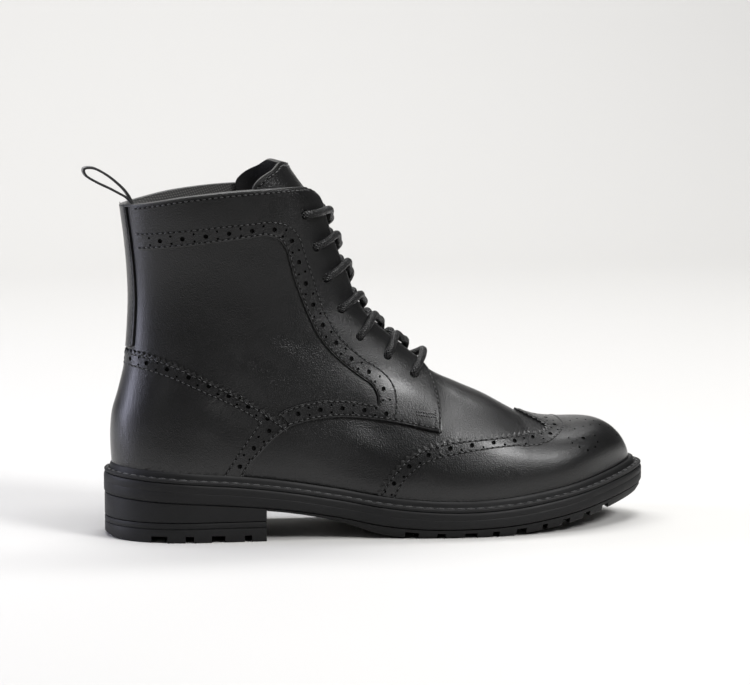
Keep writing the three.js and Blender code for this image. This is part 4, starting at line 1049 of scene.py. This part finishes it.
# Tongue
tongueEdge = fromSide(tongueLine)
tongueRise = surfaceAt(tongueEdge)
tongueRise = tongueRise[:, 2] - weltTop(tongueRise[:, 0])
tongueEdge[:, 1] *= 1 - 0.3 * smoothStep((tongueRise - 158) / 22)


def tongueOutline():
    return joinRuns(toSide(tongueEdge, -1), toSide(tongueEdge, 1)[::-1])[:-1]


def tongueDish(top):
    # The laces press the middle of the tongue in
    def offset(run, edgeGap, point):
        low = smoothStep((140 - point[:, 2] + weltTop(point[:, 0])) / 12)
        return top - 2.7 * low * smoothStep(1.5 - np.abs(run[:, 1]) * 3.4)
    return offset


tongue = outlinePiece("tongueCalf", tongueOutline(), [], tongueDish(-3.14), tongueDish(-5.14), calf, 2.0, 1.4)
for piece, node in ((tongue, "tongue"), (vamp, "upper"), (toeCap, "toe_cap"), (counter, "heel_counter")):
    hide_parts(node)
print("back strip and tongue")


# Stitches: a node tree lays thread on a seam line
def stitchTree():
    tree = bpy.data.node_groups.new("stitchRow", "GeometryNodeTree")
    face = tree.interface
    face.new_socket("Geometry", in_out="INPUT", socket_type="NodeSocketGeometry")
    for label in ("Pitch", "Length", "Width", "Height"):
        face.new_socket(label, in_out="INPUT", socket_type="NodeSocketFloat")
    face.new_socket("Thread", in_out="INPUT", socket_type="NodeSocketMaterial")
    face.new_socket("Geometry", in_out="OUTPUT", socket_type="NodeSocketGeometry")
    start = addNode(tree, "NodeGroupInput").outputs
    line = addNode(tree, "GeometryNodeMeshToCurve", [(start["Geometry"], "Mesh")])
    spots = addNode(tree, "GeometryNodeResampleCurve", [(line.outputs[0], "Curve"), (start["Pitch"], "Length")],
                    mode="LENGTH")
    outward = addNode(tree, "GeometryNodeInputNamedAttribute", data_type="FLOAT_VECTOR", in_Name="outward")
    ahead = addNode(tree, "GeometryNodeInputTangent")
    turn = addNode(tree, "FunctionNodeAxesToRotation",
                   [(outward.outputs[0], "Primary Axis"), (ahead.outputs[0], "Secondary Axis")],
                   primary_axis="Z", secondary_axis="X")
    size = addNode(tree, "ShaderNodeCombineXYZ", [(start["Length"], "X"), (start["Width"], "Y"),
                                                  (start["Height"], "Z")])
    bead = addNode(tree, "GeometryNodeMeshUVSphere", in_Segments=8, in_Rings=5, in_Radius=0.5)
    shaped = addNode(tree, "GeometryNodeTransform", [(bead.outputs[0], "Geometry"), (size.outputs[0], "Scale")])
    laid = addNode(tree, "GeometryNodeInstanceOnPoints",
                   [(spots.outputs[0], "Points"), (shaped.outputs[0], "Instance"), (turn.outputs[0], "Rotation")])
    real = addNode(tree, "GeometryNodeRealizeInstances", [(laid.outputs[0], "Geometry")])
    soft = addNode(tree, "GeometryNodeSetShadeSmooth", [(real.outputs[0], 0)])
    dressed = addNode(tree, "GeometryNodeSetMaterial", [(soft.outputs[0], "Geometry"),
                                                        (start["Thread"], "Material")])
    addNode(tree, "NodeGroupOutput", [(dressed.outputs[0], "Geometry")])
    return tree


stitchRow = stitchTree()


def runTree(name, mesh, tree, values):
    # Object with a node tree's result as its plain mesh
    source = bpy.data.objects.new(name + "Line", mesh)
    scene.collection.objects.link(source)
    modifier = source.modifiers.new("nodes", "NODES")
    modifier.node_group = tree
    ids = {item.name: item.identifier for item in tree.interface.items_tree if item.in_out == "INPUT"}
    for label, value in values.items():
        modifier[ids[label]] = value
    bpy.context.view_layer.update()
    made = bpy.data.meshes.new_from_object(source.evaluated_get(bpy.context.evaluated_depsgraph_get()))
    bpy.data.objects.remove(source)
    made.name = name
    return made


def lineMesh(name, runs):
    # Lines of points with their outward directions: runs hold (points, normals)
    points, normals, edges = [], [], []
    for place, normal in runs:
        start = len(points)
        points.extend((place * mm).tolist())
        normals.extend(normal.tolist())
        edges.extend((start + i, start + i + 1) for i in range(len(place) - 1))
    mesh = bpy.data.meshes.new(name)
    mesh.from_pydata(points, edges, [])
    mesh.attributes.new("outward", "FLOAT_VECTOR", "POINT").data.foreach_set("vector", np.ravel(normals))
    return mesh


def seamOf(run, lift, step=0.8):
    run = evenRun(run, step)
    point, _, _, normal = frameOf(run)
    return point + normal * (lift + creaseAt(point))[:, None], normal


def stitchPiece(name, runs, size):
    values = {label.title(): value * mm for label, value in size.items()}
    return addPiece(name, runTree(name, lineMesh(name, runs), stitchRow, {**values, "Thread": thread}))


def bothSides(run, lift):
    return [seamOf(toSide(run, side), lift) for side in (-1, 1)]


def trimmed(run, most=0.86):
    return run[run[:, 1] < most]


tops = overlay["top"] + 0.02
collarSeam = sideways(collarFront[1:], 1.7)
facingSeam = sideways(facingSide, 1.5)
seamRuns = []
for run, lift in (
        (trimmed(collarSeam), tops), (facingSeam[4:], tops),
        (trimmed(sideways(bandInner, -1.0)), tops), (trimmed(bandOuter), tops),
        (sideways(bandLower[1:], -1.0), tops), (sideways(quarterEdge[2:], 1.2), tops),
        (sideways(counterEdge, 2.6), tops), (fromSide(counterIn), tops),
        (fromSide(counterInFoot), tops), (sideways(hem, 1.2), tops),
        (sideways(wing, -1.1)[1:], overlay["capTop"] + 0.02), (wingIn, overlay["capTop"] + 0.02),
        (sideways(stripSide, -1.3), tops),
        (sideways(tongueEdge[:90], -2.4), -3.1)):
    seamRuns += bothSides(run, lift)


def needleLineShade(name, runs, wide):
    # Near-black strip under the thread: painted shade of the pressed line that the thread lies in
    points, faces = [], []
    for place, normal in runs:
        ahead = np.gradient(place, axis=0)
        across = np.cross(normal, ahead)
        across /= np.linalg.norm(across, axis=1, keepdims=True)
        start = len(points)
        for side in (-1, 1):
            points.extend((place + normal * 0.03 + across * side * wide / 2).tolist())
        count = len(place)
        faces.extend((start + i, start + i + 1, start + count + i + 1, start + count + i) for i in range(count - 1))
    return finishMesh(name, newMesh(name, points, faces), shadeMaterial)


needleLineShade("needleLineShade", seamRuns, 0.95)
stitchPiece("upperStitches", seamRuns, seams)
tack = []
for v in (49.9, 48.3):
    tack += bothSides(fromSide([(121.0, v), (125.5, v - 0.5), (130.2, v - 1.1)]), tops)
tack += bothSides(fromSide([(131.2, 50.6), (131.0, 46.0), (130.6, 42.4)]), tops)
stitchPiece("barTack", tack, tackThread)
print("stitches")


# Sole parts from rings round the boot
soleStations = 150


def outlineBase(share, side, height):
    low, high = float(xAt(backAlong(upAt(boot["seatDrop"])))), float(xAt(boot["toeShare"]))
    x = low + (high - low) * (1 - np.cos(pi * np.clip(share, 0, 1))) / 2
    return np.stack([x, sideOf(x, height, side)], axis=-1)


def ringLine(reach, close=None, height=None, stations=soleStations):
    # Closed outline round the sole, starting at the heel's middle along the outer side
    height = boot["seatDrop"] if height is None else height
    share = np.linspace(0, 1, stations + 1)
    halves = []
    for side in (-1, 1):
        base = outlineBase(share, side, height)
        wide = (np.full(len(share), close) if close is not None
                else np.asarray(reach * (0.85 + 0.3 * alongAt(base[:, 0]))))
        step = 0.004
        along = outlineBase(share + step, side, height) - outlineBase(share - step, side, height)
        along /= np.linalg.norm(along, axis=1, keepdims=True)
        point = base + np.stack([-along[:, 1], along[:, 0]], axis=1) * side * wide[:, None]
        for end, sign in ((0, -1), (-1, 1)):
            middle = (outlineBase(share[[end]], -1, height)[0] + outlineBase(share[[end]], 1, height)[0]) / 2
            point[end] = middle + np.array([sign * wide[end], 0])
        halves.append(point)
    return np.concatenate([halves[0], halves[1][-2:0:-1]])


def ringSolid(rings, hollow=False):
    # rings: (outline, level function of x)
    points, faces = [], []
    count = len(rings[0][0])
    for line, level in rings:
        points.append(np.concatenate([line, (level(line[:, 0]) + 0 * line[:, 0])[:, None]], axis=1))
    total = len(rings)
    for k in range(total if hollow else total - 1):
        low, high = k * count, ((k + 1) % total) * count
        faces.extend((low + i, low + (i + 1) % count, high + (i + 1) % count, high + i) for i in range(count))
    if not hollow:
        half = count // 2
        for base, flip in ((0, True), ((total - 1) * count, False)):
            for i in range(half):
                a, b = base + i, base + i + 1
                c, d = base + (count - i - 1) % count, base + (count - i) % count
                quad = [a, b, c, d] if i else [a, b, c]
                quad = [q for n, q in enumerate(quad) if q not in quad[:n]]
                if len(quad) > 2:
                    faces.append(tuple(reversed(quad)) if flip else tuple(quad))
    return newMesh("ring", np.concatenate(points), faces)


def mixLevel(low, high, share):
    return lambda x: low(x) + (high(x) - low(x)) * share


def levelAt(value):
    return lambda x: np.full(np.shape(x), float(value))


reach = boot["edgeReach"]
gap = boot["gap"]


def midsoleMesh():
    rows = [(-6, 0.0), (-1.5, 0.0), (-0.75, 0.02), (-0.25, 0.06), (0, 0.14), (0, 0.3), (0, 0.53), (-0.06, 0.55),
            (-0.14, 0.565), (-0.06, 0.58), (0, 0.61), (0, 0.8), (-0.15, 0.9), (-0.5, 0.97), (-1.1, 1.0)]
    return ringSolid([(ringLine(reach + out), mixLevel(midsoleUnder, seatTop, share)) for out, share in rows])


def weltMesh():
    bead = boot["beadHeight"]
    top = [(reach - 0.9, 0.0), (reach - 0.45, 0.2), (reach - 0.3, 0.7), (reach - 0.35, 1.4), (reach - 0.8, 1.85),
           (reach - 1.4, 1.95), (reach - 2.1, 1.6), (reach - 2.7, 1.45), (reach - 3.3, 1.55), (reach - 3.7, 1.9),
           (reach - 3.85, 2.6), (reach - 4.0, 3.9), (reach - 4.3, 4.8), (reach - 4.9, 5.3)]
    rings = [(ringLine(0, gap + 0.4), lambda x: seatTop(x) + gap)]
    rings += [(ringLine(out), (lambda x, up=up: seatTop(x) + gap * 0.5 + up)) for out, up in top]
    rings.append((ringLine(0, 0.15, bead), lambda x: weltTop(x) + bead - 0.2))
    return ringSolid(rings, hollow=True)


midsole = finishMesh("midsoleRubber", midsoleMesh(), rubber)
welt = finishMesh("weltRubber", weltMesh(), rubber)
insole = finishMesh("insoleSock", ringSolid([(ringLine(0, -4.9), lambda x: seatTop(x) + gap),
                                             (ringLine(0, -4.9), lambda x: seatTop(x) + gap + 2.4)]), cotton)
for piece, node in ((midsole, "midsole"), (welt, "welt"), (insole, "insole")):
    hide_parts(node)

# Tread and heel: ring solids cut off at the heel breast, with grooves between the lugs
tread = {"sheet": 1.7, "channel": 0.17 * 107, "channelWidth": 0.028 * 107, "groove": 3.6}
# along, width as shares of the sole length
heelGrooves = [(0.0847, 0.0275), (0.137, 0.015), (0.1875, 0.024), (0.2405, 0.013)]
treadGrooves = [(0.5295, 0.024), (0.5815, 0.015), (0.6345, 0.022), (0.6805, 0.012), (0.728, 0.019),
                (0.7735, 0.01), (0.815, 0.015), (0.858, 0.014), (0.9, 0.014)]


def treadTop(x):
    return midsoleUnder(x) - gap


def treadUnder(x):
    return np.maximum(0, midsoleUnder(x) - boot["treadDepth"] * treadShare(alongAt(x)) - 0.45)


def sheetUnder(x):
    return treadTop(x) - tread["sheet"]


def cutAcross(mesh, x, keepAhead):
    # Cuts a closed mesh on the plane x and closes the cut
    bm = bmesh.new()
    bm.from_mesh(mesh)
    cut = bmesh.ops.bisect_plane(bm, geom=bm.verts[:] + bm.edges[:] + bm.faces[:], plane_co=(x * mm, 0, 0),
                                 plane_no=(1, 0, 0), clear_outer=not keepAhead, clear_inner=keepAhead)
    edges = [item for item in cut["geom_cut"] if isinstance(item, bmesh.types.BMEdge)]
    bmesh.ops.holes_fill(bm, edges=edges)
    bmesh.ops.recalc_face_normals(bm, faces=bm.faces)
    bm.to_mesh(mesh)
    bm.free()
    return mesh


def grooveBlock(x0, x1, y0, y1, level):
    zs = [float(level(x)) for x in (x0, x1)]
    points = [(x, y, z) for x, top in ((x0, zs[0]), (x1, zs[1])) for y in (y0, y1) for z in (-6.0, top)]
    faces = [(0, 1, 3, 2), (4, 6, 7, 5), (0, 4, 5, 1), (2, 3, 7, 6), (1, 5, 7, 3), (0, 2, 6, 4)]
    return points, faces


def withGrooves(mesh, blocks):
    points, faces = [], []
    for corners, sides in blocks:
        start = len(points)
        points.extend(corners)
        faces.extend(tuple(start + i for i in side) for side in sides)
    cutter = newMesh("grooves", points, faces)
    bm = bmesh.new()
    bm.from_mesh(cutter)
    bmesh.ops.recalc_face_normals(bm, faces=bm.faces)
    bm.to_mesh(cutter)
    bm.free()
    body, tool = bpy.data.objects.new("body", mesh), bpy.data.objects.new("tool", cutter)
    for item in (body, tool):
        scene.collection.objects.link(item)
    cut = body.modifiers.new("cut", "BOOLEAN")
    cut.operation, cut.solver, cut.object = "DIFFERENCE", "EXACT", tool
    cut.use_self = True
    bpy.context.view_layer.update()
    result = bpy.data.meshes.new_from_object(body.evaluated_get(bpy.context.evaluated_depsgraph_get()))
    bpy.data.objects.remove(body)
    bpy.data.objects.remove(tool)
    return result


breast = float(xAt(boot["heelBreast"]))
lift = boot["liftHeight"]


def heelCurl(x):
    return 1.8 * np.clip((0.035 - alongAt(x)) / 0.035, 0, 1) ** 2


def across(row, fromY, toY, level):
    x0, x1 = (float(xAt(row[0] + side * row[1] / 2)) for side in (-1, 1))
    return grooveBlock(x0, x1, fromY, toY, level)


def heelLiftMesh():
    rows = [(-2.2, 0.0), (-1.2, 0.0), (-0.6, 0.25), (-0.4, 0.8), (-0.4, 6.9), (-0.5, 7.2), (-1.0, 7.45), (-1.0, 7.7),
            (-0.5, 7.95), (-0.4, 8.25), (-0.4, 10.0), (-0.7, lift)]
    rings = [(ringLine(reach + out), lambda x, up=up: np.maximum(heelCurl(x) * (1 - up / 4) if up < 4 else 0, 0) + up)
             for out, up in rows]
    channel = tread["channel"] + 1
    blocks = []
    for row in heelGrooves:
        blocks.append(across(row, -120, -channel, lambda x: tread["groove"]))
        blocks.append(across(row, channel, 120, lambda x: tread["groove"]))
    return withGrooves(cutAcross(ringSolid(rings), breast, False), blocks)


def heelBlockMesh():
    rows = [(-0.9, 0.0), (-0.5, 0.03), (-0.4, 0.12), (-0.4, 0.9), (-0.5, 0.97), (-0.9, 1.0)]
    rings = [(ringLine(reach + out), mixLevel(levelAt(lift + gap), lambda x: midsoleUnder(x) - 0.1, share))
             for out, share in rows]
    return cutAcross(ringSolid(rings), breast, False)


def outsoleMesh():
    rings = [(ringLine(reach - 2.8), treadUnder), (ringLine(reach - 2.3), mixLevel(treadUnder, treadTop, 0.08)),
             (ringLine(reach - 1.0), mixLevel(treadUnder, treadTop, 0.6)), (ringLine(reach - 0.9), treadTop)]
    mesh = cutAcross(ringSolid(rings), breast + 0.6, True)
    half, wide = tread["channel"], tread["channelWidth"]
    blocks = []
    for row in treadGrooves:
        blocks.append(across(row, -120, -half - wide / 2, sheetUnder))
        blocks.append(across(row, half + wide / 2, 120, sheetUnder))
    for one, other in zip(treadGrooves[:-1:2], treadGrooves[1::2]):
        blocks.append(across(((one[0] + other[0]) / 2, 0.012), -half - 1, half + 1, sheetUnder))
    for side in (-1, 1):
        ends = np.linspace(0.47, 0.93, 24)
        for a, b in zip(ends[:-1], ends[1:]):
            blocks.append(grooveBlock(float(xAt(a)), float(xAt(b)) + 0.01, side * half - wide / 2,
                                      side * half + wide / 2, sheetUnder))
    return withGrooves(mesh, blocks)


heelLift = finishMesh("heelLiftRubber", heelLiftMesh(), rubber)
heelBlock = finishMesh("heelBlockRubber", heelBlockMesh(), rubber)
outsole = finishMesh("outsoleRubber", outsoleMesh(), rubber)
for piece, node in ((heelLift, "heel_lift"), (heelBlock, "heel_block"), (outsole, "outsole")):
    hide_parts(node)
weltLine = ringLine(reach - 2.35, stations=260)
weltPlace = np.concatenate([weltLine, weltTop(weltLine[:, 0])[:, None] - 0.1], axis=1)
weltPlace = np.concatenate([weltPlace, weltPlace[:1]])
weltThread = {"pitch": 5.6, "length": 4.7, "width": 1.3, "height": 1.4}
stitchPiece("weltStitches", [(weltPlace, np.tile([0.0, 0.0, 1.0], (len(weltPlace), 1)))], weltThread)
print("sole parts")


def tubeFaces(total, count):
    # Sides and closed ends of a tube of rings
    faces = [(i * count + k, i * count + (k + 1) % count, (i + 1) * count + (k + 1) % count, (i + 1) * count + k)
             for i in range(total - 1) for k in range(count)]
    return faces + [tuple(reversed(range(count))), tuple(range((total - 1) * count, total * count))]


def sweepTube(name, path, ring, first=(0, 0, 1), fixed=False):
    # ring: function of the length along the path giving points across it
    path = np.asarray(path, float)
    ahead = np.gradient(path, axis=0)
    ahead /= np.linalg.norm(ahead, axis=1, keepdims=True)
    length = lengthAlong(path)
    side = np.array(first, float)
    points = []
    for i in range(len(path)):
        side = np.array(first, float) if fixed else side
        side = side - ahead[i] * (side @ ahead[i])
        side /= np.linalg.norm(side)
        other = np.cross(ahead[i], side)
        shape = ring(length[i])
        points.append(path[i] + shape[:, :1] * side + shape[:, 1:] * other)
    count = len(points[0])
    mesh = newMesh(name, np.concatenate(points), tubeFaces(len(path), count))
    # UV: millimetres along the cord, share of a turn round it
    place = np.zeros((len(mesh.loops), 2), np.float32)
    at = 0
    for i in range(len(path) - 1):
        for k in range(count):
            place[at:at + 4] = [(length[i], k / count), (length[i], (k + 1) / count),
                                (length[i + 1], (k + 1) / count), (length[i + 1], k / count)]
            at += 4
    mesh.uv_layers.new(name="UVMap").data.foreach_set("uv", place.ravel())
    return mesh


def splineThrough(points, step):
    # Catmull-Rom line through points, at even steps
    p = np.asarray(points, float)
    p = np.concatenate([[2 * p[0] - p[1]], p, [2 * p[-1] - p[-2]]])
    out = []
    for i in range(1, len(p) - 2):
        t = np.linspace(0, 1, 24, endpoint=False)[:, None]
        out.append(0.5 * ((2 * p[i]) + (p[i + 1] - p[i - 1]) * t
                          + (2 * p[i - 1] - 5 * p[i] + 4 * p[i + 1] - p[i + 2]) * t**2
                          + (3 * p[i] - p[i - 1] - 3 * p[i + 1] + p[i + 2]) * t**3))
    out = np.concatenate(out + [p[-2:-1]])
    length = lengthAlong(out)
    at = np.linspace(0, length[-1], max(2, int(length[-1] / step)))
    return pick(at, length, out)


# Lace: one cord, crossed down the throat to a straight bar, its ends hidden behind the top holes
laceCord = {"radius": 2.2, "strand": 0.17, "pitch": 5.2, "under": -0.45, "over": 3.95, "step": 0.5,
            "behind": -4.6, "inHole": 0.2, "lip": 2.9, "rest": 3.5}
throatRun = fromSide(facingLine[3:13], 0.5)
throatFlat = surfaceAt(throatRun)


def edgePlace(hole):
    place = surfaceAt(hole[None])[0]
    return throatRun[int(np.argmin(np.linalg.norm(throatFlat - place, axis=1)))]


edgePlaces = [edgePlace(hole) for hole in holePlaces]


def liftedPoint(place, side, height, inward=0.0):
    run = np.array([[place[0], place[1] * side]])
    point, _, _, normal = formFrame(run[:, 0], run[:, 1])
    point = point[0] + normal[0] * height
    point[1] -= side * inward
    return point


def throatMiddle(one, other, height):
    a, b = (surfaceAt(p[None])[0] for p in (one, other))
    middle = (a + b) / 2
    outward = formFrame(np.array([(one[0] + other[0]) / 2]), np.array([0.0]))[3][0]
    middle[1] = 0
    return middle + outward * height


def crossing(i, side, height):
    # From hole i on one side, over its edge, down to the other side's next hole from behind
    hole, edge, far = holePlaces[i], edgePlaces[i], edgePlaces[i + 1]
    rest = laceCord["rest"]
    toEdge = hole + (edge - hole) * 0.45
    nextHole = holePlaces[i + 1]
    return [liftedPoint(hole, side, laceCord["behind"]), liftedPoint(hole, side, laceCord["inHole"]),
            liftedPoint(hole + (edge - hole) * 0.12, side, laceCord["lip"]),
            liftedPoint(toEdge, side, rest + 0.35), liftedPoint(edge, side, rest + 0.3, 0.6),
            throatMiddle(edge, edge + (far - edge) * 0.5, height * 0.95) + np.array([0, side * 4.8, 0]),
            throatMiddle(edge, edge + (far - edge) * 0.9, height),
            throatMiddle(edge, edge + (far - edge) * 1.25, min(height, 1.2) - 1.9) - np.array([0, side * 5.0, 0]),
            liftedPoint(edge + (far - edge) * 0.74, -side, laceCord["behind"], 0.6),
            liftedPoint((far + nextHole) / 2, -side, laceCord["behind"] - 1.0)]


def laceRun(side):
    points = []
    for i in range(len(holePlaces) - 1):
        points += crossing(i, side, laceCord["over"] if side < 0 else laceCord["under"])
        side = -side
    last = holePlaces[-1]
    points += [liftedPoint(last, side, laceCord["behind"]), liftedPoint(last, side, laceCord["inHole"])]
    return points, side


def lacePath():
    down, side = laceRun(-1)
    other, _ = laceRun(1)
    last, edge = holePlaces[-1], edgePlaces[-1]
    rest = laceCord["rest"]
    bar = []
    for s in (side, -side):
        half = [liftedPoint(last + (edge - last) * 0.12, s, laceCord["lip"]),
                liftedPoint(last + (edge - last) * 0.5, s, rest + 0.35), liftedPoint(edge, s, rest + 0.3, 0.6)]
        bar += half if s == side else half[::-1]
    bar.insert(3, throatMiddle(edge, edge, 6.2))
    return down + bar + other[::-1]


def braid(length):
    angle = np.arange(22) * tau / 22
    turn = length / laceCord["pitch"] * tau
    weave = np.maximum(np.abs(np.sin(3 * angle + turn / 2)), np.abs(np.sin(3 * angle - turn / 2)))
    radius = laceCord["radius"] - laceCord["strand"] * (1 - weave) * 2.2
    return np.stack([radius * np.cos(angle), radius * np.sin(angle)], axis=1)


lacePoints = splineThrough(lacePath(), laceCord["step"])
laceLength = float(np.linalg.norm(np.diff(lacePoints, axis=0), axis=1).sum())
laces = finishMesh("laceBraid", sweepTube("lace", lacePoints, braid, (1, 0, 0)), lace, angle=80)
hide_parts("laces")
print("lace, mm long:", round(laceLength))

# Pull loop: webbing sewn inside the collar and folded over the back
loop = {"width": 10.0, "thick": 1.25}
# out behind the collar, up from its top
loopRows = [(-7.4, -13), (-6.4, -6), (-5.4, 0.8), (-2.0, 7.0), (3.6, 12.6), (9.6, 17.0), (15.5, 19.8),
            (20.2, 19.4), (19.2, 15.8), (13.2, 12.0), (7.0, 9.0), (1.8, 6.2), (-2.6, 3.6), (-5.6, 0.2)]
collarBackX = float(xAt(backAlong(0.8845)))
collarBackZ = float(heightAt(0.8845)) + float(weltTop(float(xAt(0.032)))) + 0.3
loopPath = splineThrough([(collarBackX - out, 0, collarBackZ + up) for out, up in loopRows], 0.5)


def tape(length):
    half, thick = loop["width"] / 2, loop["thick"] / 2
    rib = 0.06 * np.sin(length * tau / 0.9)
    return np.array([(-half + 0.3, -thick), (-half * 0.7, -thick - rib), (0, -thick - rib), (half * 0.7, -thick - rib),
                     (half - 0.3, -thick), (half, 0), (half - 0.3, thick), (half * 0.7, thick + rib),
                     (0, thick + rib), (-half * 0.7, thick + rib), (-half + 0.3, thick), (-half, 0)])


pullLoop = finishMesh("pullLoopWebbing", sweepTube("loop", loopPath, tape, (0, 1, 0), fixed=True), loopWeb, angle=60)
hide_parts("pull_loop")


# Folded edge round the collar
def collarEdge():
    half = evenRun(collarFront, 1.2)
    rings = []
    for side in (-1, 1):
        run = toSide(half, side)
        point, _, _, normal = frameOf(run)
        ahead = np.gradient(point, axis=0)
        ahead /= np.linalg.norm(ahead, axis=1, keepdims=True)
        upward = np.cross(normal, ahead) * -side
        upward /= np.linalg.norm(upward, axis=1, keepdims=True)
        middle, reachOut = (overlay["top"] - 2.8) / 2 + 0.05, (overlay["top"] + 2.8) / 2 + 0.08
        angle = np.linspace(0, pi, 9)
        loopPoints = []
        for a in angle:
            loopPoints.append(point + normal * (middle + reachOut * cos(a)) + upward * (0.95 * sin(a) ** 0.7 - 0.25))
        loopPoints.append(point + normal * (middle - reachOut * 0.9) - upward * 0.6)
        loopPoints.append(point + normal * (middle + reachOut * 0.9) - upward * 0.6)
        rings.append(np.stack(loopPoints, axis=1))
    joined = np.concatenate([rings[0][::-1], rings[1][1:]])
    return newMesh("collarEdge", joined.reshape(-1, 3), tubeFaces(len(joined), joined.shape[1]))


finishMesh("collarFoldCalf", collarEdge(), calfOverlay, angle=60)
print("loop and collar")


# Camera, light and floor
view = {"azimuth": -11.0, "elevation": 6.5, "distance": 1600.0, "target": (106.0, 0.0, 100.0),
        "across": 1.72, "up": 1.49, "lens": 139.47}


def setCamera():
    azimuth, elevation = radians(view["azimuth"]), radians(view["elevation"])
    back = Vector((sin(azimuth) * cos(elevation), -cos(azimuth) * cos(elevation), sin(elevation)))
    right = Vector((cos(azimuth), sin(azimuth), 0))
    upward = back.cross(right)
    look = Vector(view["target"]) - right * view["across"] + upward * view["up"]
    data = bpy.data.cameras.new("camera")
    data.sensor_width = 36
    data.lens = view["lens"]
    camera = bpy.data.objects.new("camera", data)
    camera.matrix_world = (Matrix.Translation((look + back * view["distance"]) * mm)
                           @ Matrix((right, upward, back)).transposed().to_4x4())
    scene.collection.objects.link(camera)
    scene.camera = camera


def areaLight(name, place, aim, size, power, colour="#ffffff"):
    data = bpy.data.lights.new(name, "AREA")
    data.shape = "RECTANGLE"
    data.size, data.size_y = size
    data.energy = power
    data.color = linear(colour)[:3]
    lamp = bpy.data.objects.new(name, data)
    direction = Vector(aim) - Vector(place)
    lamp.location = place
    lamp.rotation_euler = direction.to_track_quat("-Z", "Y").to_euler()
    scene.collection.objects.link(lamp)


def studioSweep():
    material, tree, shader = newMaterial("paintedSweep")
    shader.inputs["Base Color"].default_value = linear("#c9c8c6")
    shader.inputs["Roughness"].default_value = 0.9
    shader.inputs["Specular IOR Level"].default_value = 0.1
    profile = [(-0.47, 0.0), (1.6, 0.0)]
    profile += [(1.6 + 0.8 * sin(radians(a)), 0.8 - 0.8 * cos(radians(a))) for a in range(6, 91, 6)]
    profile += [(2.4, 3.5)]
    points, faces = [], []
    for y, z in profile:
        points += [(-1.0, y, z), (1.2, y, z)]
    for i in range(len(profile) - 1):
        faces.append((2 * i, 2 * i + 1, 2 * i + 3, 2 * i + 2))
    mesh = bpy.data.meshes.new("sweep")
    mesh.from_pydata(points, [], faces)
    for polygon in mesh.polygons:
        polygon.use_smooth = True
    mesh.materials.append(material)
    sweep = bpy.data.objects.new("studioSweep", mesh)
    scene.collection.objects.link(sweep)


setCamera()
studioSweep()
areaLight("topSoft", (0.3, -0.3, 1.7), (0.13, 0.0, 0.05), (0.7, 0.6), 13.5)
areaLight("keyFront", (1.05, -1.12, 1.3), (0.14, 0.0, 0.06), (0.45, 0.55), 26)
areaLight("fillLeft", (-1.1, -1.2, 1.0), (0.02, 0.0, 0.08), (0.3, 1.0), 1.5)
areaLight("backLeft", (-1.25, 0.3, 0.5), (0.0, 0.0, 0.1), (0.4, 1.0), 11, "#e6e8ff")
areaLight("sweepWash", (0.1, 1.0, 2.6), (0.1, 1.9, 0.4), (3.0, 0.8), 84)
world = bpy.data.worlds.new("studio")
scene.world = world
world.use_nodes = True
tree = world.node_tree
surround = tree.nodes["Background"]
surround.inputs["Color"].default_value = linear("#f4f3f1")
surround.inputs["Strength"].default_value = 0.1
seen = addNode(tree, "ShaderNodeBackground", in_Strength=1.0)
seen.inputs["Color"].default_value = linear("#f4f3f1")
ray = addNode(tree, "ShaderNodeLightPath")
both = addNode(tree, "ShaderNodeMixShader", [(ray.outputs["Is Camera Ray"], 0), (surround.outputs[0], 1),
                                             (seen.outputs[0], 2)])
tree.links.new(both.outputs[0], tree.nodes["World Output"].inputs["Surface"])
scene.view_settings.view_transform = "Standard"

print("camera and light set")
